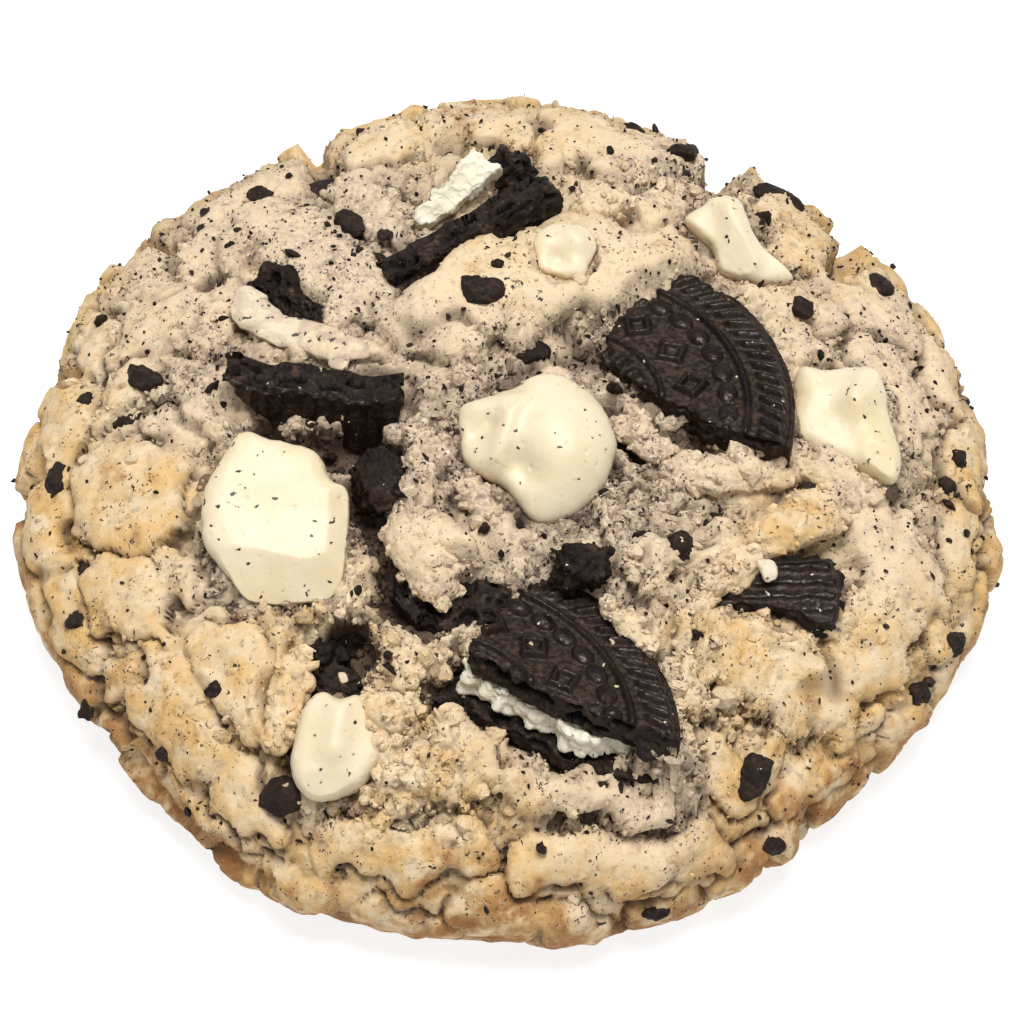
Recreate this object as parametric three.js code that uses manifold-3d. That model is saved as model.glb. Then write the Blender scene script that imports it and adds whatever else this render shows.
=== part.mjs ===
// A cookies and cream cookie, about 96 mm across. One thick round of dough, cracked and
// craggy on top, holds white chips and broken pieces of a dark sandwich biscuit.
// Millimetres, +Z up, the origin on the table under the middle of the flat base.

import * as THREE from "three";
import { mergeVertices } from "three/addons/utils/BufferGeometryUtils.js";
import Module from "manifold-3d";

const wasm = await Module();
wasm.setup();

// ---------------------------------------------------------------- driving dimensions

const COOKIE_RADIUS = 47; // at the waist, where the cookie is widest
const WAIST_HEIGHT = 7.3;
const CROWN_HEIGHT = 22.4; // the smooth dome under the crags, in the middle
const BASE_INSET = 3.2; // the base is this much smaller in radius than the waist
const DOME_FULLNESS = 2.6; // powers of the dome's superellipse
const DOME_SHOULDER = 0.62;
const DOME_STEPS = 400; // points of the profile over the dome, and down the side
const SIDE_STEPS = 60;
const CREVICE_FLOOR = -2.1; // how far the cracks between lobes lie below the dome
const CREASE_POWER = 5; // how sharply lobes meet
const FOOT_FADE = 3.2; // below this height the crags fade out towards the flat base
// Slow waves of the outline: how many go round, how deep as a part of the radius, and the
// compass angle of a crest.
const OUTLINE_WAVES = [[3, 0.008, 23], [4, 0.012, -4], [7, 0.012, -17]];
const CENTRE_SHIFT = [-0.205, -0.079]; // brings the middle of the finished outline to the origin

const BISCUIT_RADIUS = 22.5; // of the whole dark sandwich biscuit
const WAFER_THICKNESS = 3.2;
const FIT_GAP = 0.35; // clearance between each piece and what it is set in
const COVER_GAP = 0.5; // the dough stays this far below the face of a piece set in it
const BED_DEPTH = 2; // and comes up to this far below it, so that no piece hangs in the air
const BED_WALL = 4; // how steeply it falls away outside the piece
const BED_SLOPE = 2; // how steeply dough that rises over a piece's face does so outside it

const DOUGH_DETAIL = 16; // subdivisions of the dough's icosahedron
const CHIP_STEPS = 18; // points round a chip
const CRUMB_SINK = 0.35; // the part of a crumb's height that is below the dough

const DEG = Math.PI / 180;

// ---------------------------------------------------------------- colours

const FINISHES = {
  dough: { color: 0xd9c6a0, roughness: 0.85 },
  chip: { color: 0xf6ecd0, roughness: 0.45 },
  wafer: { color: 0x2c2422, roughness: 0.6 },
  cream: { color: 0xeeebd8, roughness: 0.6 },
};

function finish(name) {
  return new THREE.MeshStandardMaterial({ ...FINISHES[name], metalness: 0 });
}

// ---------------------------------------------------------------- the dome's profile

// The side profile, from the top of the dome over the waist to the foot, as points with
// their arc length. The dome is a superellipse, the side below the waist a quarter ellipse.
function profilePoints() {
  const points = [];
  for (let i = 0; i <= DOME_STEPS; i++) {
    const t = (i / DOME_STEPS) * (Math.PI / 2);
    points.push({
      r: COOKIE_RADIUS * Math.sin(t) ** (2 / DOME_FULLNESS),
      z: WAIST_HEIGHT + (CROWN_HEIGHT - WAIST_HEIGHT) * Math.cos(t) ** (2 * DOME_SHOULDER),
    });
  }
  for (let i = 1; i <= SIDE_STEPS; i++) {
    const drop = i / SIDE_STEPS;
    points.push({
      r: COOKIE_RADIUS - BASE_INSET * (1 - Math.sqrt(1 - drop * drop)),
      z: WAIST_HEIGHT * (1 - drop),
    });
  }
  let run = 0;
  points.forEach((p, i) => {
    if (i) run += Math.hypot(p.r - points[i - 1].r, p.z - points[i - 1].z);
    p.run = run;
  });
  return points;
}

const PROFILE = profilePoints();
const WAIST_RUN = PROFILE[DOME_STEPS].run;
const FOOT_RUN = PROFILE.at(-1).run;

// The point of the profile at a given arc length, with the unit normal there.
function profileAt(run) {
  let low = 0;
  let high = PROFILE.length - 1;
  while (high - low > 1) {
    const mid = (low + high) >> 1;
    if (PROFILE[mid].run <= run) low = mid;
    else high = mid;
  }
  const a = PROFILE[low];
  const b = PROFILE[high];
  const t = THREE.MathUtils.clamp((run - a.run) / (b.run - a.run), 0, 1);
  const length = Math.hypot(b.r - a.r, b.z - a.z);
  return {
    r: a.r + t * (b.r - a.r),
    z: a.z + t * (b.z - a.z),
    normal: [-(b.z - a.z) / length, (b.r - a.r) / length],
  };
}

// A distance from the axis with the waves of the outline put in, which die out inwards.
function waved(r, angle) {
  const wave = OUTLINE_WAVES.reduce((sum, [count, depth, crest]) => (
    sum + depth * Math.cos(count * (angle - crest * DEG))
  ), 0);
  return r * (1 + wave * (r / COOKIE_RADIUS) ** 3);
}

// The run that belongs to a distance from the axis seen from above. A distance past the
// cookie's radius goes on down the side.
function runAtRadius(radius) {
  if (radius >= COOKIE_RADIUS) return WAIST_RUN + radius - COOKIE_RADIUS;
  let low = 0;
  while (PROFILE[low + 1].r < radius) low++;
  const a = PROFILE[low];
  const b = PROFILE[low + 1];
  return a.run + ((radius - a.r) / (b.r - a.r)) * (b.run - a.run);
}

// A point seen from above, laid out flat: same direction, distance along the profile.
function unroll([x, y, width]) {
  const radius = Math.hypot(x, y);
  const stretch = radius ? runAtRadius(radius) / radius : 1;
  return [x * stretch, y * stretch, width];
}

// ---------------------------------------------------------------- the crags

// Lobes of dough: how far each rises over the dome, then its spine as [x, y, half width]
// seen from above.
const LOBES = [
  // back left
  [1.3, [-23.5, 23.5, 6.2], [-15.5, 14.5, 5]],
  [0.9, [-14.5, 28.5, 3.6], [-11.5, 23.5, 2.8]],
  [1.0, [-13.5, 36, 4], [-10, 40, 3.4]],
  [1.2, [-5.5, 40, 4.5], [1, 38, 4]],
  [1.2, [6.5, 37, 5.6], [15.5, 34.5, 5]],
  [0.5, [-29, 29, 3.4], [-20, 33.5, 3.4]],
  [0.8, [-29.5, 24, 3.4], [-30, 20.5, 2.5]],
  [0.9, [-37, 22.5, 4], [-34.5, 18.5, 3.4]],
  [0.6, [-42, 18, 3.4], [-40, 13.5, 4]],
  [1.1, [-34.5, 13.5, 5], [-29, 13.5, 5]],
  [0.7, [-43, 8, 4.2], [-43.5, 1, 4]],
  [0.7, [-38, 6, 3.1], [-34.5, 6.7, 2.8]],
  [0.9, [-25, 15, 2.1], [-22.5, 10.5, 1.7], [-17.5, 8.5, 1.6], [-14, 7.3, 1.7]],
  [0.8, [-31.5, 8, 2.9], [-29, 3.5, 3.4], [-25, -0.5, 2.2]],
  [0.5, [-32, 2, 2.9], [-29.5, 0.5, 2.5]],
  [1.4, [-9, 11.7, 3.6], [-5, 9, 3.6]],
  // the big smooth tongue over the middle
  [2.4, [-6, 12.5, 5.3], [1, 15.8, 7], [8, 18, 6.2], [15.5, 19, 4]],
  // back right
  [0.7, [9, 27.5, 3.1]],
  [0.7, [15, 27, 2.9], [18, 29, 2.3]],
  [0.5, [21, 30.5, 2.3], [25, 30, 2]],
  [0.9, [28, 28, 4.3], [30, 22.5, 4.3]],
  [0.4, [37, 20.5, 2.9], [40, 18, 2.3]],
  [0.8, [35, 17.5, 3.7], [38, 14.5, 3.4]],
  [0.5, [42.5, 14.5, 2.8], [44, 9, 2.6]],
  [0.8, [36, 11, 3.1], [38.5, 6.7, 3.4], [39, 1, 2.8]],
  [0.8, [23.5, 15.7, 2.5], [28, 14.5, 3.4], [31.5, 14.5, 2.9]],
  [0.6, [27.5, 9.5, 2.6], [31, 9.5, 2]],
  [0.5, [44.7, 4.5, 2.9], [44.7, -2.2, 3.1]],
  [-0.8, [4.5, 8.4, 2.9], [8, 5.6, 2.5]],
  // front left
  [1.6, [-38, -4, 4.5], [-34.5, -8.5, 5], [-33, -4.5, 3.4]],
  [0.7, [-32, -14, 2.7], [-30.5, -16, 2]],
  [0.4, [-44.7, -3.4, 3.1], [-44, -10, 3.4]],
  [0.9, [-39, -14, 3.4], [-34.5, -18, 3.6], [-34, -20.5, 2.2]],
  [0.5, [-43.5, -13.5, 3.4], [-41, -19.5, 3.4]],
  [0.5, [-38.5, -23, 2.2], [-35, -24.5, 1.8]],
  [1.1, [-33, -26.3, 4.5], [-30, -30.7, 4.5]],
  [1.3, [-28, -23, 2.9], [-24.5, -25.7, 3.9], [-22, -30.7, 3.4]],
  [1.0, [-21, -22.4, 2.2], [-22, -25, 2.6]],
  [0.5, [-25.7, -35.2, 2.9], [-22.4, -38.5, 2.8]],
  [1.6, [-10, -36.3, 3.4], [-5.6, -33.5, 3.4], [-3.4, -37, 3.4]],
  [1.0, [-11, -24.6, 2.6], [-8, -25.7, 2.9]],
  [0.3, [-10, -30.7, 1.8], [-7.5, -29.5, 1.6]],
  [2.4, [-8.4, -12.3, 2.2], [-6.2, -15.6, 2.5], [-4.5, -18.6, 2.5]],
  [0.9, [-9, -2.2, 2.2], [-7.3, -6.7, 2.5]],
  [0.4, [-14, -20.7, 2.2], [-12.3, -17.3, 2.2]],
  [-0.6, [-15.7, -22.5, 2]],
  [0.6, [-15.7, -41.4, 2.8], [-9, -42.5, 3.4], [-3.4, -42.5, 2.9]],
  [0.5, [-21.8, -21, 1.7], [-17.3, -21, 1.7]],
  [0.2, [-29.6, -19.6, 1.8], [-26.3, -20, 1.7]],
  [-0.4, [-29.2, -16, 1.8], [-29.6, -4, 1.8]],
  // front right
  [1.4, [16.8, -6.7, 2.2], [21.2, -5, 2.6], [26.3, -5, 2.2]],
  [1.8, [23.5, -12.3, 1.5], [27.4, -10.6, 2.2], [30.7, -8.4, 2.1]],
  [1.3, [20.7, -13.4, 2.2], [18.4, -18, 1.3]],
  [-0.2, [32.4, -6.7, 2.5]],
  [0.8, [10.6, -14, 2.7], [14, -16.2, 2.7]],
  [0.3, [10, -9.5, 2.4]],
  [0.4, [3.4, -16.2, 1.8]],
  [1.5, [19, -23.5, 4.5], [25.7, -25.2, 5], [31.3, -28, 4.5]],
  [1.2, [35.8, -10, 3.9], [37.5, -15.7, 5], [34.7, -22.4, 4.5], [28, -29, 3.4]],
  [0.4, [43, -3.4, 2.6], [43.6, -10, 2.6]],
  [0.2, [42.5, -18, 3]],
  [0.5, [19, -33.5, 2.2], [22.4, -35.8, 2.8], [25.2, -32.4, 1.8]],
  [1.7, [0.6, -37, 1.8], [5.6, -38.2, 2.2], [10, -38, 2.5], [14.5, -38.6, 1.8]],
  [1.7, [9, -35.8, 2.2]],
  [1.8, [16.2, -24.6, 1.8], [18, -30.2, 2.4]],
  [1.6, [13.5, -35, 2], [16, -33, 2.2]],
  [0.7, [2.2, -43, 3.1], [10, -43, 3.1], [19, -41.4, 2.8]],
  [0.6, [28, -36.3, 2.8], [32.4, -31.9, 2.7]],
  [0.4, [35.8, -28, 2.2]],
  // low infill where no lobe stands out
  [-0.3, [4, 3, 5], [12, -4, 4]],
  [-0.5, [0, -13, 6], [10, -19, 5]],
  [-0.3, [-12, 2, 4], [-16, -4, 4]],
  [-0.3, [26, 4, 6], [24, -4, 5]],
];

// Hollows, in which no lobe rises past the floor: in front of the broken faces, beside the
// pieces that stand on edge, and along the deep cracks. Floor, then the spine.
const HOLLOWS = [
  [-4.2, [10.5, 0.5, 1.8], [19, -4, 1.4]],
  [-4.6, [-3, -28.6, 2.4], [6.5, -33.4, 2.2]],
  [-1.2, [-25.3, 2.4, 2.2], [-11.5, 1.2, 2.4]],
  [-5.0, [-22.5, -2, 1.5], [-13.5, -3.6, 1.8]],
  [-1.2, [-24.5, 16.3, 1.8], [-19, 12, 1.6]],
  [-1.0, [-10.5, 17.2, 1.9], [5, 26.2, 1.8]],
  [-1.4, [0.3, 29.4, 1.6]],
  [-2.8, [-9.5, -20.5, 1.8], [0, -20.8, 2]],
  [-5.0, [-16.5, -25.5, 2.8]],
  [-4.6, [-13.2, -5.6, 1.3], [-12.3, -13.4, 1.2], [-9.6, -19.5, 1]],
  [-4.5, [-18.8, -26, 1.3], [-20.4, -33.5, 1.1]],
  [-4.0, [11, -2, 1]],
  [-3.6, [-6, 36, 1.1]],
  [-3.4, [24.5, 27.5, 1]],
];

const SIDE_LOBES = 34; // a ring of low lobes round the waist
const HOLLOW_SLOPE = 1.3; // how steeply the dough rises out of a hollow

// A repeatable number from 0 to 1 for each whole number.
function chance(n) {
  const x = Math.sin(n * 12.9898) * 43758.5453;
  return x - Math.floor(x);
}

function sideLobes() {
  const rows = [];
  for (let k = 0; k < SIDE_LOBES; k++) {
    const angle = ((k + 0.7 * chance(k + 1)) / SIDE_LOBES) * 2 * Math.PI;
    const sweep = (2 + 3 * chance(k + 101)) / COOKIE_RADIUS;
    const radius = COOKIE_RADIUS + 5 * chance(k + 201) - 0.5;
    const width = 2.8 + 2.2 * chance(k + 301);
    const end = radius + 3 * (chance(k + 401) - 0.5);
    rows.push([
      0.3 + 0.9 * chance(k + 501),
      [radius * Math.cos(angle), radius * Math.sin(angle), width],
      [end * Math.cos(angle + sweep), end * Math.sin(angle + sweep), width * 0.9],
    ]);
  }
  return rows;
}

function flattened(rows) {
  return rows.map(([level, ...spine]) => ({ level, spine: spine.map(unroll) }));
}

const FLAT_LOBES = flattened([...LOBES, ...sideLobes()]);
const FLAT_HOLLOWS = flattened(HOLLOWS);

// Distance from a point to a spine, as a multiple of the spine's half width there, and the
// half width.
function spineDistance(u, v, spine) {
  let best = Infinity;
  let width = 1;
  const count = Math.max(1, spine.length - 1);
  for (let i = 0; i < count; i++) {
    const a = spine[i];
    const b = spine[Math.min(i + 1, spine.length - 1)];
    const du = b[0] - a[0];
    const dv = b[1] - a[1];
    const along = ((u - a[0]) * du + (v - a[1]) * dv) / (du * du + dv * dv || 1);
    const t = THREE.MathUtils.clamp(along, 0, 1);
    const half = a[2] + t * (b[2] - a[2]);
    const d = Math.hypot(u - a[0] - t * du, v - a[1] - t * dv) / half;
    if (d < best) {
      best = d;
      width = half;
    }
  }
  return [best, width];
}

// Sines that push the lobes' outlines about, so that none is a plain capsule.
function wander(u, v) {
  return [
    u + 0.8 * Math.sin(0.62 * v + 1.1) + 0.45 * Math.sin(1.31 * u + 0.73 * v + 2),
    v + 0.8 * Math.sin(0.58 * u + 0.4) + 0.45 * Math.sin(1.17 * u - 0.91 * v + 0.7),
  ];
}

// Height of the lobes over the smooth dome at a point of the flat layout. Each lobe is a
// pillow, and a high power mean joins them, with a soft crease where two meet.
function lobeHeight(u, v) {
  let sum = 0;
  for (const { level, spine } of FLAT_LOBES) {
    const [d] = spineDistance(u, v, spine);
    if (d < 1) sum += ((level - CREVICE_FLOOR) * (1 - d * d)) ** CREASE_POWER;
  }
  return CREVICE_FLOOR + sum ** (1 / CREASE_POWER);
}

// The most that the dough may rise there beside the hollows.
function hollowLimit(u, v) {
  return Math.min(...FLAT_HOLLOWS.map(({ level, spine }) => {
    const [d, width] = spineDistance(u, v, spine);
    return level + HOLLOW_SLOPE * width * Math.max(0, d - 1);
  }));
}

// Distance of a point from a closed outline, negative inside it.
function outlineDistance(x, y, outline) {
  let inside = false;
  let nearest = Infinity;
  outline.forEach(([bx, by], i) => {
    const [ax, ay] = outline.at(i - 1);
    const along = ((x - ax) * (bx - ax) + (y - ay) * (by - ay)) / ((bx - ax) ** 2 + (by - ay) ** 2);
    const t = THREE.MathUtils.clamp(along, 0, 1);
    nearest = Math.min(nearest, Math.hypot(x - ax - t * (bx - ax), y - ay - t * (by - ay)));
    if ((ay > y) !== (by > y) && x < ax + ((y - ay) / (by - ay)) * (bx - ax)) inside = !inside;
  });
  return inside ? -nearest : nearest;
}

// The dough fits itself to the pieces that lie flat in it. It comes up under each of them,
// as far as the hollows let it, and stays below the plane of its face where the piece is.
function bedHeight(x, y, z, limit) {
  return BEDS.reduce((height, { at, normal, inverse, outline, face }) => {
    const plane = at[2] - (normal.x * (x - at[0]) + normal.y * (y - at[1])) / normal.z;
    const local = new THREE.Vector3(x, y, plane).applyMatrix4(inverse);
    const gap = Math.max(0, outlineDistance(local.x, local.y, outline));
    const low = Math.min(limit, plane + face - BED_DEPTH - BED_WALL * gap);
    const high = plane + face - COVER_GAP + BED_SLOPE * gap;
    return THREE.MathUtils.clamp(height, low, high);
  }, z);
}

// A point of the dough's skin: a distance down the profile, and an angle round the axis.
function skinPoint(run, angle) {
  const p = profileAt(Math.min(run, FOOT_RUN));
  const [u, v] = wander(run * Math.cos(angle), run * Math.sin(angle));
  const limit = hollowLimit(u, v);
  const fade = THREE.MathUtils.smoothstep(p.z, 0, FOOT_FADE);
  const lift = fade * Math.min(lobeHeight(u, v), limit);
  const r = waved(p.r, angle) + lift * p.normal[0];
  const x = r * Math.cos(angle);
  const y = r * Math.sin(angle);
  const z = bedHeight(x, y, p.z + lift * p.normal[1], p.z + limit * p.normal[1]);
  return [x, y, Math.max(0, z)];
}

// The dough: a fine icosahedron whose poles go to the top and the base, with the waist and
// the foot at fixed angles from the top pole.
function doughGeometry() {
  const waistPole = 105 * DEG;
  const footPole = 128 * DEG;
  const ball = new THREE.IcosahedronGeometry(1, DOUGH_DETAIL);
  const position = ball.getAttribute("position");
  for (let i = 0; i < position.count; i++) {
    const pole = Math.acos(THREE.MathUtils.clamp(position.getZ(i), -1, 1));
    const angle = Math.atan2(position.getY(i), position.getX(i));
    if (pole > footPole) {
      const r = (waved(PROFILE.at(-1).r, angle) * (Math.PI - pole)) / (Math.PI - footPole);
      position.setXYZ(i, r * Math.cos(angle), r * Math.sin(angle), 0);
      continue;
    }
    const run = pole <= waistPole
      ? (WAIST_RUN * pole) / waistPole
      : WAIST_RUN + ((FOOT_RUN - WAIST_RUN) * (pole - waistPole)) / (footPole - waistPole);
    position.setXYZ(i, ...skinPoint(run, angle));
  }
  return ball;
}

// ---------------------------------------------------------------- solids

// A closed geometry as a solid that can be joined and cut.
function solidOf(geometry) {
  const bare = geometry.clone();
  bare.deleteAttribute("normal");
  bare.deleteAttribute("uv");
  const merged = mergeVertices(bare, 1e-4);
  return new wasm.Manifold(new wasm.Mesh({
    numProp: 3,
    vertProperties: new Float32Array(merged.getAttribute("position").array),
    triVerts: new Uint32Array(merged.getIndex().array),
  }));
}

function geometryOf(solid) {
  const { vertProperties, triVerts } = solid.getMesh();
  const geometry = new THREE.BufferGeometry();
  geometry.setAttribute("position", new THREE.BufferAttribute(vertProperties, 3));
  geometry.setIndex(new THREE.BufferAttribute(triVerts, 1));
  geometry.computeVertexNormals();
  return geometry;
}

// A cut can leave loose scraps: the largest body is kept.
function largestBody(solid) {
  const bodies = solid.decompose();
  return bodies.reduce((best, body) => (body.volume() > best.volume() ? body : best));
}

// The frame of a piece: its place, and the way its face leans. `lean` is the compass angle
// towards which the face's normal leans, and by how many degrees from upright. Local x is
// level, local y climbs away from the lean, local z is the normal.
function frameOf({ at, lean }) {
  const [compass, tilt] = lean.map((angle) => angle * DEG);
  const normal = new THREE.Vector3(
    Math.sin(tilt) * Math.cos(compass),
    Math.sin(tilt) * Math.sin(compass),
    Math.cos(tilt),
  );
  const level = new THREE.Vector3(-Math.sin(compass), Math.cos(compass), 0);
  const climb = new THREE.Vector3().crossVectors(normal, level);
  return new THREE.Matrix4().makeBasis(level, climb, normal).setPosition(...at);
}

function arc(x, y, radius, from, to, steps) {
  return Array.from({ length: steps + 1 }, (_, i) => {
    const angle = (from + ((to - from) * i) / steps) * DEG;
    return [x + radius * Math.cos(angle), y + radius * Math.sin(angle)];
  });
}

// An outline moved outwards by `grow`, away from its middle.
function grown(outline, grow) {
  const x = outline.reduce((sum, p) => sum + p[0], 0) / outline.length;
  const y = outline.reduce((sum, p) => sum + p[1], 0) / outline.length;
  return outline.map((p) => {
    const reach = Math.hypot(p[0] - x, p[1] - y);
    const scale = (reach + grow) / reach;
    return [x + (p[0] - x) * scale, y + (p[1] - y) * scale];
  });
}

// ---------------------------------------------------------------- white chips

// Each chip is a soft pebble: a smooth closed outline in its own plane, a crown over it, a
// belly under it, and ridges or dents on the crown as [x, y, x, y, width, height].
const CHIPS = {
  chip_center: {
    at: [3.1, -4.6, 22.8], lean: [-90, 14], crown: 2.4, belly: 5,
    outline: [[-7.3, 3.7], [-4.7, 4.8], [-1.5, 6.3], [0.3, 7.5], [4.2, 5.8], [6.8, 2.8],
      [7.2, 0.5], [6.2, -2.3], [3.8, -5.8], [0.8, -7.2], [-1.3, -6], [-3.4, -3],
      [-5.5, -1.8], [-7.3, 0.8]],
    ridges: [[-3.7, -1.8, 1, 1, 1.6, 1.5], [-7, 3, -2, 5, 1.5, 0.9], [-6, 0, -3.5, 1, 1, -0.9]],
  },
  chip_left: {
    at: [-21.5, -11.5, 21.8], lean: [-90, 16], crown: 2, belly: 5.5,
    outline: [[-3.3, 8.2], [-0.7, 7.5], [3.5, 6.3], [5.3, 3.5], [6.7, 2.4], [6.8, -1.5],
      [6.7, -4.3], [5.5, -7.7], [2.2, -8.5], [-2.2, -8.3], [-4.3, -6], [-6.5, -3.3],
      [-6.8, -0.8], [-6.8, 1.7], [-6.2, 3.5], [-5, 5.8]],
    ridges: [[-5.5, -3.2, 3, -5, 1.4, 0.9], [4.5, 2, 4.3, -4, 1.2, 0.7], [-3, -6.8, 3, -7, 1.3, -0.7]],
  },
  chip_low_left: {
    at: [-15.9, -33.6, 16.5], lean: [-90, 20], crown: 2.6, belly: 4,
    outline: [[-2.7, 3.8], [-1, 5.2], [0.8, 4.6], [2.7, 4.8], [4.2, 1.3], [4.5, -1.5],
      [2.3, -4], [-1.5, -5], [-3.5, -3.3], [-3.8, -0.3]],
    ridges: [[0.6, 3.5, 0, -1.5, 1.3, 1.3], [2.6, 2.5, 2.8, 0, 1.1, -0.6]],
  },
  chip_right: {
    at: [32.5, 0.5, 19.1], lean: [-90, 5], crown: 1.6, belly: 4,
    outline: [[-4.3, 5.8], [-1.8, 5.8], [1.2, 6.1], [3.3, 5.3], [4, 3.3], [4.3, 0.3],
      [5.2, -3.5], [4.2, -6.2], [1, -4.7], [-2.7, -3], [-4.9, -1], [-4.7, 2.7]],
    ridges: [[2.8, 4.8, 0.8, -1, 1.7, 1.6], [-4, 4.8, -2.5, 3, 1.6, 0.8], [-0.8, 3.5, -1.6, 0, 1.4, -0.5]],
  },
  chip_top_right: {
    at: [22.5, 21.4, 19.8], lean: [-90, 20], crown: 1.7, belly: 3.5,
    outline: [[-5, 2.3], [-3.5, 3.5], [-2.2, 4.5], [0.3, 4.3], [1.1, 2.6], [2.5, -0.5],
      [5.6, -3.7], [2, -4.5], [-1.5, -3.1], [-2.2, -0.8], [-3.8, 0.8]],
    ridges: [[-0.8, 3.6, 1, -2.5, 1.3, 1.2]],
  },
  chip_top_center: {
    at: [5.8, 18, 23.3], lean: [-90, 10], crown: 1.4, belly: 3,
    outline: [[-2.6, 1.7], [-0.5, 3], [1.5, 2.8], [2.8, 1], [2.6, -1.3], [1.2, -3],
      [-1.3, -2.4], [-2.8, -0.8]],
    ridges: [[-0.9, -0.9, -0.6, -1, 1, -0.7]],
  },
};

// How far the crown's ridges lift a point of the chip.
function ridgeLift(x, y, ridges) {
  return ridges.reduce((sum, [ax, ay, bx, by, width, height]) => {
    const [d] = spineDistance(x, y, [[ax, ay, width], [bx, by, width]]);
    return sum + height * Math.exp(-d * d);
  }, 0);
}

function pebble(spec, grow) {
  const { crown, belly, ridges } = spec;
  const corners = grown(spec.outline, grow).map(([x, y]) => new THREE.Vector3(x, y, 0));
  const edge = new THREE.CatmullRomCurve3(corners, true, "catmullrom", 0.5);
  const rim = Array.from({ length: CHIP_STEPS }, (_, i) => edge.getPoint(i / CHIP_STEPS));
  const middle = rim.reduce((sum, p) => sum.add(p), new THREE.Vector3()).divideScalar(CHIP_STEPS);
  const crownHeight = (s, x, y) => (
    (crown + grow) * (1 - s ** 2.6) ** 0.6 + (1 - s ** 6) * ridgeLift(x, y, ridges)
  );
  const bellyHeight = (s) => -(belly + grow) * (1 - s * s) ** 0.5;
  const positions = [middle.x, middle.y, crownHeight(0, middle.x, middle.y)];
  // rings from the crown's middle out to the rim, then back under the belly
  const crownRings = [0.3, 0.58, 0.8, 0.94, 1];
  const bellyRings = [0.9, 0.6, 0.3];
  const addRing = (s, height) => {
    for (const p of rim) {
      const x = middle.x + (p.x - middle.x) * s;
      const y = middle.y + (p.y - middle.y) * s;
      positions.push(x, y, height(s, x, y));
    }
  };
  crownRings.forEach((s) => addRing(s, crownHeight));
  bellyRings.forEach((s) => addRing(s, bellyHeight));
  positions.push(middle.x, middle.y, -(belly + grow));
  return ringSolid(positions, crownRings.length + bellyRings.length, CHIP_STEPS);
}

// Joins a top point, rings of equal count that run clockwise as seen from above, and a
// bottom point into a closed geometry.
function ringSolid(positions, rings, count) {
  const index = [];
  const last = positions.length / 3 - 1;
  for (let i = 0; i < count; i++) {
    const j = (i + 1) % count;
    index.push(0, 1 + j, 1 + i);
    for (let k = 0; k < rings - 1; k++) {
      const a = 1 + k * count;
      const b = a + count;
      index.push(a + i, b + j, b + i, a + i, a + j, b + j);
    }
    const a = 1 + (rings - 1) * count;
    index.push(last, a + i, a + j);
  }
  const geometry = new THREE.BufferGeometry();
  geometry.setAttribute("position", new THREE.Float32BufferAttribute(positions, 3));
  geometry.setIndex(index);
  return geometry;
}

// ---------------------------------------------------------------- broken biscuit

const LOWER_SANDWICH = { at: [6.3, -26.2, 21.6], lean: [-119, -16] };
const LOWER_RIM = { x: -6.7, y: -14.3 }; // the whole biscuit's middle in that frame
const CREAM_THICKNESS = 2.4;

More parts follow.
